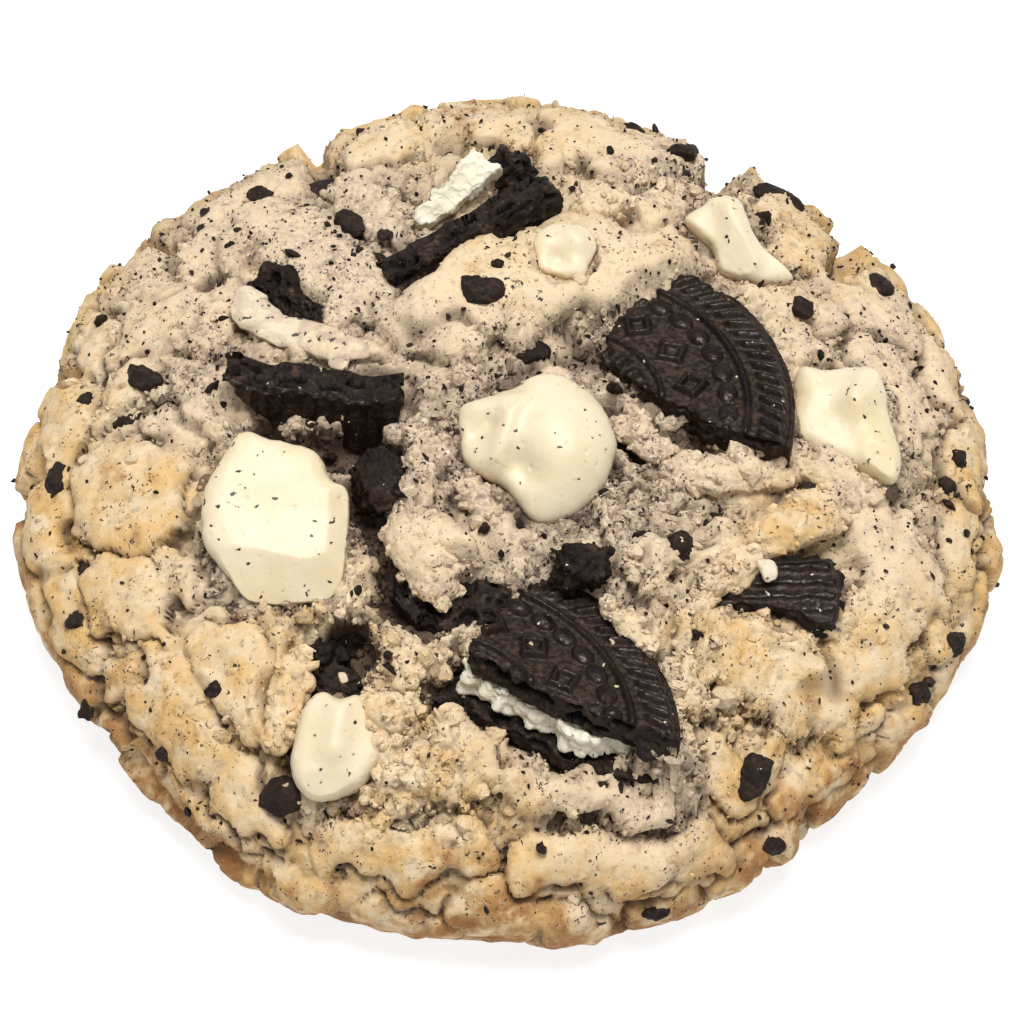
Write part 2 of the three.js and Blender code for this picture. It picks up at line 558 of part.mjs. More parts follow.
// Slabs with a face on top: an outline in the face's plane, the depth at which the slab
// starts under that plane, its thickness, and whether it lies under another slab.
const SLABS = {
  wafer_embossed: {
    finish: "wafer", at: [18.5, 6.4, 22.2], lean: [-90, -10], from: 0, thickness: WAFER_THICKNESS,
    outline: [...arc(-13.5, -6.4, BISCUIT_RADIUS, -14, 41, 12), [1.8, 9.3], [-0.3, 11.3],
      [-3, 9.4], [-5.5, 7.5], [-7.6, 5.4], [-8.6, 2.5], [-9, -0.4], [-7.4, -2.4],
      [-3.5, -5.6], [0.5, -8.4], [3.2, -10.2]],
  },
  wafer_lower_top: {
    finish: "wafer", ...LOWER_SANDWICH, from: 0, thickness: 2.8,
    outline: [...arc(LOWER_RIM.x, LOWER_RIM.y, BISCUIT_RADIUS, 26, 83, 13), [-6.8, 7],
      [-7, 5], [-7.6, 2], [-8.1, -1], [-8.6, -4.4], [-7.4, -5.6], [-4, -5.4], [-1.5, -6],
      [2, -6.4], [5.5, -5.6], [9.5, -5.2]],
  },
  cream_lower: {
    finish: "cream", ...LOWER_SANDWICH, under: true, from: 3.15, thickness: CREAM_THICKNESS,
    outline: [...arc(LOWER_RIM.x, LOWER_RIM.y, BISCUIT_RADIUS - 1.6, 34, 76, 7), [-6, 4],
      [-7.4, 0], [-8.9, -4], [-8.2, -5.6], [-6.4, -5.3], [-4.6, -6.2], [-2.6, -5.4],
      [-1, -6.2], [1.5, -5.7], [3.4, -6.6], [5.4, -6.2], [6.3, -5], [9, -4]],
  },
  wafer_lower_bottom: {
    finish: "wafer", ...LOWER_SANDWICH, under: true, from: 5.9, thickness: 3.6,
    outline: [...arc(LOWER_RIM.x, LOWER_RIM.y, BISCUIT_RADIUS, 27, 80, 9), [-7.6, 4],
      [-9.4, 0], [-10.4, -4.6], [-9.8, -7.4], [-7.2, -6.4], [-4, -7], [-1, -6.6], [3, -7.2],
      [6, -6.6], [10, -5.6]],
  },
  wafer_left: {
    finish: "wafer", at: [-18, 0.9, 22.4], lean: [-100, 76], from: 0, thickness: 3.8,
    outline: [[-9, 1.5], [-7.6, -1], [-6, -2.6], [-4.2, -4], [-2, -4.9], [1.2, -5.1],
      [4.5, -6], [6.7, -3.6], [7.6, -1.5], [7.8, 2], [5, 1], [1.2, 1.2], [-3, 1.1], [-6, 0.7]],
  },
  wafer_left_back: {
    finish: "wafer", at: [-21.4, 14, 20.9], lean: [-140, 50], from: 0, thickness: 2.6,
    outline: [[-5, -2], [-3, -2.4], [0, -2.6], [3, -2.2], [5.6, -1.2], [5.6, 0.9], [4.3, 1.1],
      [2, 1.2], [-0.5, 2], [-2, 2.5], [-4.4, 1.2]],
  },
  wafer_top: {
    finish: "wafer", at: [-2.8, 19.6, 23.4], lean: [-60, 78], from: 0, thickness: 3,
    outline: [[-9.8, -0.4], [-8.5, -3.4], [-4, -4.6], [1, -4.8], [6, -4.2], [9.6, -2.6],
      [10, 0.3], [8, 1.4], [5, 1.2], [1, 0.4], [-3, 0.3], [-7, -0.4]],
  },
  wafer_top_back: {
    finish: "wafer", at: [0.6, 29.2, 20.6], lean: [-60, 60], from: 0, thickness: 2.4,
    outline: [[-2.6, 0.4], [-1.8, -2], [1, -2.2], [2.8, -1.2], [2.4, 0.8], [0.6, 2], [-1.2, 1.8]],
  },
  wafer_right: {
    finish: "wafer", at: [25, -18.9, 19.7], lean: [-80, 5], from: 0, thickness: 3,
    outline: [[-6, 0.6], [-3.5, 2.4], [-1.5, 3.4], [2, 3.5], [6.4, 2.7], [6.5, 1], [5.6, -4.4],
      [4, -4.4], [2, -2.2], [-0.5, -1], [-3, -0.2], [-5, -0.2]],
  },
  wafer_under: {
    finish: "wafer", at: [-4.4, -20.4, 20], lean: [-90, 10], from: 0, thickness: 3,
    outline: [[-6.4, 2], [-5.4, 0], [-4, -1.6], [-2, -2.1], [2, -2], [4, -1], [5.4, 0.5],
      [4.8, 2], [2, 2.8], [-2, 2.8], [-4.6, 3.2]],
  },
  wafer_low_left: {
    finish: "wafer", at: [-16.4, -25.6, 17], lean: [-90, 20], from: 0, thickness: 3,
    outline: [[-2.4, 2.4], [-1, 2.9], [1, 1.6], [2, 0.5], [3.3, -1], [2.8, -2.4], [0.5, -2.8],
      [-1.5, -2], [-2.5, 0.4]],
  },
  cream_top: {
    finish: "cream", at: [-5.4, 26.3, 21.5], lean: [-90, 20], from: -0.9, thickness: 4,
    outline: [[-3.4, -2.2], [-1.8, -0.6], [-0.2, 1], [1, 2.8], [2.2, 4], [3.4, 3.6],
      [4.6, 2.2], [3, 0.4], [0.2, -2], [-2, -3.6], [-3, -3.6]],
  },
};

// The pieces that lie flat in the dough, each with its plane, its outline there, and how far
// its face is over the plane.
const BEDS = Object.values({ ...CHIPS, ...SLABS })
  .filter(({ lean, under }) => Math.abs(lean[1]) < 30 && !under)
  .map((spec) => {
    const frame = frameOf(spec);
    const normal = new THREE.Vector3().setFromMatrixColumn(frame, 2);
    return { at: spec.at, normal, inverse: frame.invert(), outline: spec.outline, face: -(spec.from ?? 0) };
  });

// Rough dark lumps of biscuit lying on the dough: place, half sizes and turn.
const CHUNKS = {
  chunk_center: { at: [7.1, -17.4, 21.9], half: [2.5, 2.1, 2.2], turn: 20 },
  chunk_gap: { at: [-12.2, -7.2, 20.6], half: [2.1, 3, 1.9], turn: 10 },
};

const CHUNK_SEED = 90;

// A flat slab with softened edges, its face on the plane z = -from.
function slab({ outline, from, thickness }, grow) {
  const bevel = 0.4;
  const inner = grown(outline, grow - bevel);
  const shape = new THREE.Shape(inner.map(([x, y]) => new THREE.Vector2(x, y)));
  const depth = thickness + 2 * grow - 2 * bevel;
  const geometry = new THREE.ExtrudeGeometry(shape, {
    depth, bevelSize: bevel, bevelThickness: bevel, bevelSegments: 1,
  });
  geometry.translate(0, 0, -from - thickness - grow + bevel);
  return geometry;
}

// A rough lump: a coarse icosahedron with each corner pushed in or out.
function lump(half, turn, seed, grow, detail) {
  const ball = mergeVertices(stripped(new THREE.IcosahedronGeometry(1, detail)));
  const position = ball.getAttribute("position");
  for (let i = 0; i < position.count; i++) {
    const rough = 0.86 + 0.28 * chance(seed * 57 + i);
    position.setXYZ(
      i,
      position.getX(i) * (half[0] * rough + grow),
      position.getY(i) * (half[1] * rough + grow),
      position.getZ(i) * (half[2] * rough + grow),
    );
  }
  ball.rotateZ(turn * DEG);
  return ball;
}

function stripped(geometry) {
  geometry.deleteAttribute("normal");
  geometry.deleteAttribute("uv");
  return geometry;
}

// ---------------------------------------------------------------- crumbs fused to the dough

// Dark crumbs that show from a step away: [x, y, length, breadth, turn].
const CRUMBS = [
  [-18.8, 31.3, 5.4, 2.6, 35], [-24.6, 30.2, 2.6, 1.8, 0], [-15.3, 23.8, 2.9, 1.8, -60],
  [-34.7, 7, 3.8, 2, -35], [-40.6, 7, 1.6, 1.5, 0], [-36.3, 3.4, 2.8, 1.3, 0],
  [-2.6, 12.9, 3.6, 2.4, -5], [-33.2, 23.5, 1.7, 1.5, 0], [-43.3, -1.7, 2.8, 1.8, 80],
  [-40.2, -11.2, 1.8, 1.6, 0], [-41.1, -16.8, 1.6, 1.4, 0], [-40, -23.8, 2, 1.4, 30],
  [-31.9, -31, 1.3, 1.2, 0], [2.7, 7.4, 2.4, 1.9, 0], [28.7, 14, 1.9, 1.8, 0],
  [36.9, 20.5, 2.3, 2, 30], [31.6, 19.6, 1.7, 1.5, 0], [37.8, 12.3, 2, 1.5, 40],
  [27.4, 32.1, 3.9, 2.2, -20], [12.9, 41.4, 1.8, 1.6, 0], [17.9, 35, 2.8, 2, 60],
  [44, 0.9, 1.5, 1.5, 0], [42.5, -2.8, 1.6, 1.5, 0], [42.9, -17.9, 2.3, 1.9, 60],
  [39.4, -23.5, 1.9, 1.8, 0], [23.3, -34.9, 3.8, 2.3, 75], [25.2, -39.4, 2, 1.3, 0],
  [14.3, -45, 2.6, 1.2, 0], [16.8, -14, 2.4, 2.6, 20], [13.4, -35.6, 1.9, 2.3, 0],
  [-20.6, -37.2, 3.6, 3, 20], [-27.3, -27.2, 1.2, 1.1, 0], [21, 22.5, 1.6, 1.2, 0],
];

// The matrix that stands something on the skin over a point seen from above.
function onSkin(x, y, turn) {
  const [u, v] = unroll([x, y]);
  const run = Math.hypot(u, v);
  const angle = Math.atan2(y, x);
  const { normal } = profileAt(run);
  const up = new THREE.Vector3(normal[0] * Math.cos(angle), normal[0] * Math.sin(angle), normal[1]);
  const level = new THREE.Vector3(-Math.sin(angle), Math.cos(angle), 0);
  const along = new THREE.Vector3().crossVectors(level, up);
  return new THREE.Matrix4()
    .makeBasis(along, level, up)
    .setPosition(...skinPoint(run, angle))
    .multiply(new THREE.Matrix4().makeRotationZ(turn * DEG - angle));
}

function crumb([x, y, length, breadth, turn], seed) {
  const tall = 0.75 * Math.min(length, breadth);
  const ball = lump([length / 2, breadth / 2, tall / 2], 0, seed, 0, 0);
  ball.translate(0, 0, tall * (0.5 - CRUMB_SINK));
  return ball.applyMatrix4(onSkin(x, y, turn));
}

// ---------------------------------------------------------------- building it

// Every piece set in the dough: how its geometry is made with a given clearance.
function setPieces() {
  const pieces = [];
  for (const [name, spec] of Object.entries(CHIPS)) {
    const shape = (grow) => pebble(spec, grow).applyMatrix4(frameOf(spec));
    pieces.push({ name, finish: "chip", shape });
  }
  for (const [name, spec] of Object.entries(SLABS)) {
    const shape = (grow) => slab(spec, grow).applyMatrix4(frameOf(spec));
    pieces.push({ name, finish: spec.finish, shape });
  }
  Object.entries(CHUNKS).forEach(([name, { at, half, turn }], i) => {
    const shape = (grow) => lump(half, turn, CHUNK_SEED + i, grow, 1).translate(...at);
    pieces.push({ name, finish: "wafer", shape });
  });
  return pieces;
}

const cookie = new THREE.Group();

function addNode(name, solid, finishName) {
  const mesh = new THREE.Mesh(geometryOf(solid), finish(finishName));
  mesh.name = name;
  mesh.position.set(CENTRE_SHIFT[0], CENTRE_SHIFT[1], 0);
  cookie.add(mesh);
}

// Chips come first, and each later piece gives way to those before it.
let pockets = null;
for (const piece of setPieces()) {
  let solid = solidOf(piece.shape(0));
  if (pockets) solid = largestBody(solid.subtract(pockets));
  const pocket = solidOf(piece.shape(FIT_GAP));
  pockets = pockets ? pockets.add(pocket) : pocket;
  addNode(piece.name, solid, piece.finish);
}

const crumbs = CRUMBS.map((row, i) => solidOf(crumb(row, i + 1)));
const dough = crumbs.reduce((sum, one) => sum.add(one), solidOf(doughGeometry()));
addNode("dough", largestBody(dough.subtract(pockets)), "dough");

export default cookie;
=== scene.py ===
"""Looks of a cookies and cream cookie, laid out as a Blender add-on.

One thick round of dough, cracked and craggy, holds white chips and broken pieces of a dark
sandwich biscuit. Shapes are worked out in millimetres, +Z up, with the origin on the table
under the middle of the flat base, and turned into metres when a mesh is made.
"""

import functools

import bpy
import numpy as np
from bpy.props import FloatProperty, FloatVectorProperty, IntProperty, PointerProperty
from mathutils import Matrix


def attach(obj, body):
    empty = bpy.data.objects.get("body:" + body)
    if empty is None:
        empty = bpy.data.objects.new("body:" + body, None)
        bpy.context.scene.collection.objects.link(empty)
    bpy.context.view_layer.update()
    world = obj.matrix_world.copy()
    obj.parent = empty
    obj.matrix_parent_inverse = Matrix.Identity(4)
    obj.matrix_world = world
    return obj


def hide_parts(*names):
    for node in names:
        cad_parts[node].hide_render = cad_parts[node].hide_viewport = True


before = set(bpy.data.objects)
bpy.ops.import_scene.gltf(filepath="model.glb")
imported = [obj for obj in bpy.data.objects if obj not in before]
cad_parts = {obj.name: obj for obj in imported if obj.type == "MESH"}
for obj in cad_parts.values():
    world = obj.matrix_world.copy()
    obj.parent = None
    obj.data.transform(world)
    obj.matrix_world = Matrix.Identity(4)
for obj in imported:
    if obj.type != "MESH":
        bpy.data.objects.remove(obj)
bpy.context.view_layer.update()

bl_info = {
    "name": "Cookies and cream cookie",
    "version": (1, 0, 0),
    "blender": (4, 5, 0),
    "location": "View3D > Sidebar > Cookie",
    "description": "Dresses the solids of a cookies and cream cookie with its fine surfaces",
    "category": "Object",
}

MM = 0.001
DEG = np.pi / 180
TURN = 2 * np.pi

# ---------------------------------------------------------------- driving dimensions, in mm

COOKIE_RADIUS = 47.0  # at the waist, where the cookie is widest
WAIST_HEIGHT = 7.3
CROWN_HEIGHT = 22.4  # the smooth dome under the crags, in the middle
BASE_INSET = 3.2  # the base is this much smaller in radius than the waist
DOME_FULLNESS = 2.6  # powers of the dome's superellipse
DOME_SHOULDER = 0.62
CREVICE_FLOOR = -2.1  # how far the cracks between lobes lie below the dome
FOOT_FADE = 3.2  # below this height the crags fade out towards the flat base
# Slow waves of the outline: count, depth as a part of the radius, compass angle of a crest.
OUTLINE_WAVES = [(3, 0.008, 23), (4, 0.012, -4), (7, 0.012, -17)]
CENTRE_SHIFT = np.array([-0.205, -0.079, 0.0])  # brings the finished outline's middle to the origin

BISCUIT_RADIUS = 22.5  # of the whole dark sandwich biscuit
COVER_GAP = 0.35  # the dough stays this far below the face of a piece set in it
BED_DEPTH = {"chip": 0.7, "slab": 1.6}  # and comes up to this far below it
BED_WALL = {"chip": 0.8, "slab": 2.0}  # how steeply it falls away outside the piece
BED_CURVE = 0.5  # and how it curves down there
BED_SLOPE = 2.0  # how steeply dough that rises over a piece's face does so outside it
LYING_TILT = 30  # degrees; a piece that leans more than this has no bed

PROFILE_STEPS = 400  # of the side profile from its top to the waist
FOOT_STEPS = 60  # and from there to the foot
DOUGH_CELLS = 306  # of the dough's grid, each way
UNDERSIDE_RINGS = (0.97, 0.6, 0.25)  # of the base, as parts of its rim
SIDE_LOBES = 34  # a ring of low lobes round the waist
LOBE_SPREAD = 1.1  # how much wider a lobe is than its spine says
FREE_RISE = 9.0  # more than any lobe rises, where no hollow holds it down
HOLLOW_SLOPE = 3.0  # how steeply the dough rises out of a hollow
INFILL_LEVEL = -0.9  # crumbly dough fills the wider gaps between lobes about this high
INFILL_FULLNESS = 0.45  # and counts as this far from a crevice
CRUMB_SINK = 0.58  # the part of a crumb's height that is below the dough
STAND_HEIGHT = 5.5  # no crumb's foot is lower than this
TABLE_GAP = 0.05  # crumbs stay this far above the table
STUCK_CRUMBS = 620  # on the laps of dough

# How many rings a shell has and how many points go round each.
CHIP_RINGS, CHIP_POINTS = 70, 220
CHUNK_RINGS, CHUNK_POINTS = 46, 92
SWEPT_RINGS, SWEPT_POINTS = 64, 64
# A slab with a pressed face and a plain one: points round, rings of the face, of the side
# and of the back.
FINE_SLAB = (420, 84, 22, 12)
PLAIN_SLAB = (260, 34, 20, 12)

# The seeds that the pieces of a kind are numbered from.
CHIP_SEED, SLAB_SEED, CHUNK_SEED = 1, 20, 50
CRUMB_SEED, STUCK_SEED = 60, 70

# Lobes of dough: how far each rises over the dome, then its spine as (x, y, half width)
# seen from above.
LOBES = [
    # back left
    (1.3, (-23.5, 23.5, 6.2), (-15.5, 14.5, 5)),
    (0.9, (-14.5, 28.5, 3.6), (-11.5, 23.5, 2.8)),
    (1.0, (-13.5, 36, 4), (-10, 40, 3.4)),
    (1.2, (-5.5, 40, 4.5), (1, 38, 4)),
    (1.2, (6.5, 37, 5.6), (15.5, 34.5, 5)),
    (0.5, (-29, 29, 3.4), (-20, 33.5, 3.4)),
    (0.8, (-29.5, 24, 3.4), (-30, 20.5, 2.5)),
    (0.9, (-37, 22.5, 4), (-34.5, 18.5, 3.4)),
    (0.6, (-42, 18, 3.4), (-40, 13.5, 4)),
    (1.1, (-34.5, 13.5, 5), (-29, 13.5, 5)),
    (0.7, (-43, 8, 4.2), (-43.5, 1, 4)),
    (0.7, (-38, 6, 3.1), (-34.5, 6.7, 2.8)),
    (0.9, (-25, 15, 2.1), (-22.5, 10.5, 1.7), (-17.5, 8.5, 1.6), (-14, 7.3, 1.7)),
    (0.8, (-31.5, 8, 2.9), (-29, 3.5, 3.4), (-25, -0.5, 2.2)),
    (0.5, (-32, 2, 2.9), (-29.5, 0.5, 2.5)),
    (1.4, (-9, 11.7, 3.6), (-5, 9, 3.6)),
    # the big smooth tongue over the middle
    (2.4, (-6, 12.5, 5.3), (1, 15.8, 7), (8, 18, 6.2), (15.5, 19, 4)),
    # back right
    (0.7, (9, 27.5, 3.1)),
    (0.7, (15, 27, 2.9), (18, 29, 2.3)),
    (0.5, (21, 30.5, 2.3), (25, 30, 2)),
    (0.9, (28, 28, 4.3), (30, 22.5, 4.3)),
    (0.4, (37, 20.5, 2.9), (40, 18, 2.3)),
    (0.8, (35, 17.5, 3.7), (38, 14.5, 3.4)),
    (0.5, (42.5, 14.5, 2.8), (44, 9, 2.6)),
    (0.8, (36, 11, 3.1), (38.5, 6.7, 3.4), (39, 1, 2.8)),
    (0.8, (23.5, 15.7, 2.5), (28, 14.5, 3.4), (31.5, 14.5, 2.9)),
    (0.6, (27.5, 9.5, 2.6), (31, 9.5, 2)),
    (0.5, (44.7, 4.5, 2.9), (44.7, -2.2, 3.1)),
    (-0.8, (4.5, 8.4, 2.9), (8, 5.6, 2.5)),
    # front left
    (1.6, (-38, -4, 4.5), (-34.5, -8.5, 5), (-33, -4.5, 3.4)),
    (0.7, (-32, -14, 2.7), (-30.5, -16, 2)),
    (0.4, (-44.7, -3.4, 3.1), (-44, -10, 3.4)),
    (0.9, (-39, -14, 3.4), (-34.5, -18, 3.6), (-34, -20.5, 2.2)),
    (0.5, (-43.5, -13.5, 3.4), (-41, -19.5, 3.4)),
    (0.5, (-38.5, -23, 2.2), (-35, -24.5, 1.8)),
    (1.1, (-33, -26.3, 4.5), (-30, -30.7, 4.5)),
    (1.3, (-28, -23, 2.9), (-24.5, -25.7, 3.9), (-22, -30.7, 3.4)),
    (1.0, (-21, -22.4, 2.2), (-22, -25, 2.6)),
    (0.5, (-25.7, -35.2, 2.9), (-22.4, -38.5, 2.8)),
    (1.6, (-10, -36.3, 3.4), (-5.6, -33.5, 3.4), (-3.4, -37, 3.4)),
    (1.0, (-11, -24.6, 2.6), (-8, -25.7, 2.9)),
    (0.3, (-10, -30.7, 1.8), (-7.5, -29.5, 1.6)),
    (2.4, (-8.4, -12.3, 2.2), (-6.2, -15.6, 2.5), (-4.5, -18.6, 2.5)),
    (0.9, (-9, -2.2, 2.2), (-7.3, -6.7, 2.5)),
    (0.4, (-14, -20.7, 2.2), (-12.3, -17.3, 2.2)),
    (-0.6, (-15.7, -22.5, 2)),
    (0.6, (-15.7, -41.4, 2.8), (-9, -42.5, 3.4), (-3.4, -42.5, 2.9)),
    (0.5, (-21.8, -21, 1.7), (-17.3, -21, 1.7)),
    (0.2, (-29.6, -19.6, 1.8), (-26.3, -20, 1.7)),
    (-0.4, (-29.2, -16, 1.8), (-29.6, -4, 1.8)),
    # front right
    (1.4, (16.8, -6.7, 2.2), (21.2, -5, 2.6), (26.3, -5, 2.2)),
    (1.8, (23.5, -12.3, 1.5), (27.4, -10.6, 2.2), (30.7, -8.4, 2.1)),
    (1.3, (20.7, -13.4, 2.2), (18.4, -18, 1.3)),
    (-0.2, (32.4, -6.7, 2.5)),
    (0.8, (10.6, -14, 2.7), (14, -16.2, 2.7)),
    (0.3, (10, -9.5, 2.4)),
    (0.4, (3.4, -16.2, 1.8)),
    (1.5, (19, -23.5, 4.5), (25.7, -25.2, 5), (31.3, -28, 4.5)),
    (1.2, (35.8, -10, 3.9), (37.5, -15.7, 5), (34.7, -22.4, 4.5), (28, -29, 3.4)),
    (0.4, (43, -3.4, 2.6), (43.6, -10, 2.6)),
    (0.2, (42.5, -18, 3)),
    (0.5, (19, -33.5, 2.2), (22.4, -35.8, 2.8), (25.2, -32.4, 1.8)),
    (1.7, (0.6, -37, 1.8), (5.6, -38.2, 2.2), (10, -38, 2.5), (14.5, -38.6, 1.8)),
    (1.7, (9, -35.8, 2.2)),
    (1.8, (16.2, -24.6, 1.8), (18, -30.2, 2.4)),
    (1.6, (13.5, -35, 2), (16, -33, 2.2)),
    (0.7, (2.2, -43, 3.1), (10, -43, 3.1), (19, -41.4, 2.8)),
    (0.6, (28, -36.3, 2.8), (32.4, -31.9, 2.7)),
    (0.4, (35.8, -28, 2.2)),
    # low infill where no lobe stands out
    (-0.3, (4, 3, 5), (12, -4, 4)),
    (-0.5, (0, -13, 6), (10, -19, 5)),
    (-0.3, (-12, 2, 4), (-16, -4, 4)),
    (-0.3, (26, 4, 6), (24, -4, 5)),
]

# Hollows, in which no lobe rises past the floor: floor, then the spine.
HOLLOWS = [
    (-2.6, (10.5, 0.5, 1.4), (19, -4, 1.0)),
    (-4.2, (-3, -28.6, 2.4), (6.5, -33.4, 2.2)),
    (-1.2, (-25.3, 2.4, 2.2), (-11.5, 1.2, 2.4)),
    (-5.0, (-22.5, -2, 1.5), (-13.5, -3.6, 1.8)),
    (-1.2, (-24.5, 16.3, 1.8), (-19, 12, 1.6)),
    (-1.0, (-10.5, 17.2, 1.9), (5, 26.2, 1.8)),
    (-1.4, (0.3, 29.4, 1.6)),
    (-2.8, (-9.5, -20.5, 1.8), (0, -20.8, 2)),
    (-5.0, (-16.5, -25.5, 2.8)),
    (-4.6, (-13.2, -5.6, 1.3), (-12.3, -13.4, 1.2), (-9.6, -19.5, 1)),
    (-4.5, (-18.8, -26, 1.3), (-20.4, -33.5, 1.1)),
    (-4.0, (11, -2, 1)),
    (-3.6, (-6, 36, 1.1)),
    # notches and flat stretches of the outline
    (-3.9, (21.2, 30.2, 1.0), (22, 36.5, 1.9), (22.8, 43, 2.6)),
    (-3.8, (33.6, 21.6, 0.9), (34.6, 27, 1.6), (35.4, 33, 2.1)),
    (-2.6, (-18.6, 32.5, 0.9), (-19.4, 43, 1.4)),
    (-2.6, (-33.8, 25.2, 0.8), (-37, 28.5, 1.4)),
    (-3.0, (-42.6, 11, 0.9), (-47, 12.4, 1.4)),
    (-3.0, (-45.2, 0, 1.2), (-49, -0.4, 1.6)),
    (-1.8, (-38.5, -27.4, 0.8), (-41.5, -29, 1.3)),
    (-0.9, (-36.5, -30, 1.6), (-30, -37, 2.4), (-23, -42, 1.8)),
    (-1.6, (24.6, -41, 0.8), (26.5, -44, 1.2)),
]

# How the dough is coloured from place to place: x, y, reach, then how golden, how toasted,
# how grey-mauve with biscuit dust, and how crumbly it is there, each from 0 to 1. Where no
# row reaches, it is as TONE_REST says.
TONE_REST = (0.35, 0.05, 0.35, 0.4)
TONE_REST_WEIGHT = 0.02
TONES = [
    (-37, -7, 7, 0.75, 0.1, 0, 0.2), (-37.5, -3.5, 3.2, 0.4, 0.9, 0, 0.2),
    (-44, 4, 6, 0.5, 0.15, 0.1, 0.4), (-38, 14, 6, 0.3, 0, 0.3, 0.5),
    (-31, 17, 6, 0.25, 0, 0.6, 0.5), (-25, 24, 6, 0.2, 0.05, 0.6, 0.2),
    (-15, 18, 5, 0, 0, 0.85, 0.3), (-13, 27, 4, 0.1, 0, 0.7, 0.5),
    (-10, 38, 5, 0.4, 0.1, 0.1, 0.4), (-4.5, 40, 2.6, 0.2, 0.9, 0.3, 0.4),
    (4, 38, 5, 0.4, 0, 0.25, 0.3), (11, 35, 4, 0.3, 0, 0.4, 0.3),
    (18, 34, 5, 0.1, 0, 0.75, 0.5), (0, 16, 6, 0.35, 0, 0.25, 0.1),
    (12, 19, 5, 0.2, 0, 0.35, 0.1), (24, 26, 5, 0.3, 0, 0.4, 0.4),
    (32, 24, 6, 0.6, 0, 0.35, 0.3), (36, 13, 6, 0.2, 0, 0.6, 0.35),
    (41, 6, 5, 0.2, 0, 0.5, 0.35), (38, -8, 7, 0.2, 0, 0.5, 0.3),
    (46, -3, 5, 0.6, 0.3, 0.1, 0.35), (44, -18, 6, 0.5, 0.2, 0.25, 0.35),
    (22, -5, 5, 0.1, 0, 0.5, 0.45), (27, -10.5, 3.5, 0.9, 0.45, 0.05, 0.1),
    (19, -17, 4, 0.3, 0, 0.4, 0.5), (25, -25, 7, 0.6, 0, 0, 0.5),
    (34, -28, 4, 0.6, 0.4, 0.1, 0.3), (16, -28, 4, 0.3, 0, 0.3, 0.6),
    (8, -38, 7, 0.1, 0, 0.65, 0.4), (-6, -35, 6, 0.45, 0, 0.05, 0.8),
    (-28, -26, 6, 0.6, 0.1, 0, 0.35), (-22, -40, 6, 0.4, 0.1, 0.2, 0.4),
    (-35, -20, 6, 0.6, 0.3, 0.2, 0.4), (-10, -26, 4, 0.35, 0, 0.3, 0.7),
    (-5, -15, 4, 0.25, 0, 0.35, 0.3), (-10, -3, 5, 0, 0, 0.85, 0.6),
    (-31, 2, 5, 0, 0, 0.7, 0.6), (-27, -16, 4, 0, 0, 0.6, 0.6),
    (3, 4, 6, 0, 0, 0.7, 0.6), (-7, 7, 4, 0.1, 0, 0.5, 0.3),
    (0, -8, 6, 0, 0, 0.85, 0.7), (12, -11, 5, 0, 0, 0.75, 0.7),
    (33, -37, 8, 0.9, 0.85, 0, 0.2), (2, -47, 8, 0.9, 0.65, 0, 0.2), (-37, -31, 7, 0.9, 0.8, 0, 0.2),
    (-47, -6, 5, 0.8, 0.4, 0, 0.3),
]

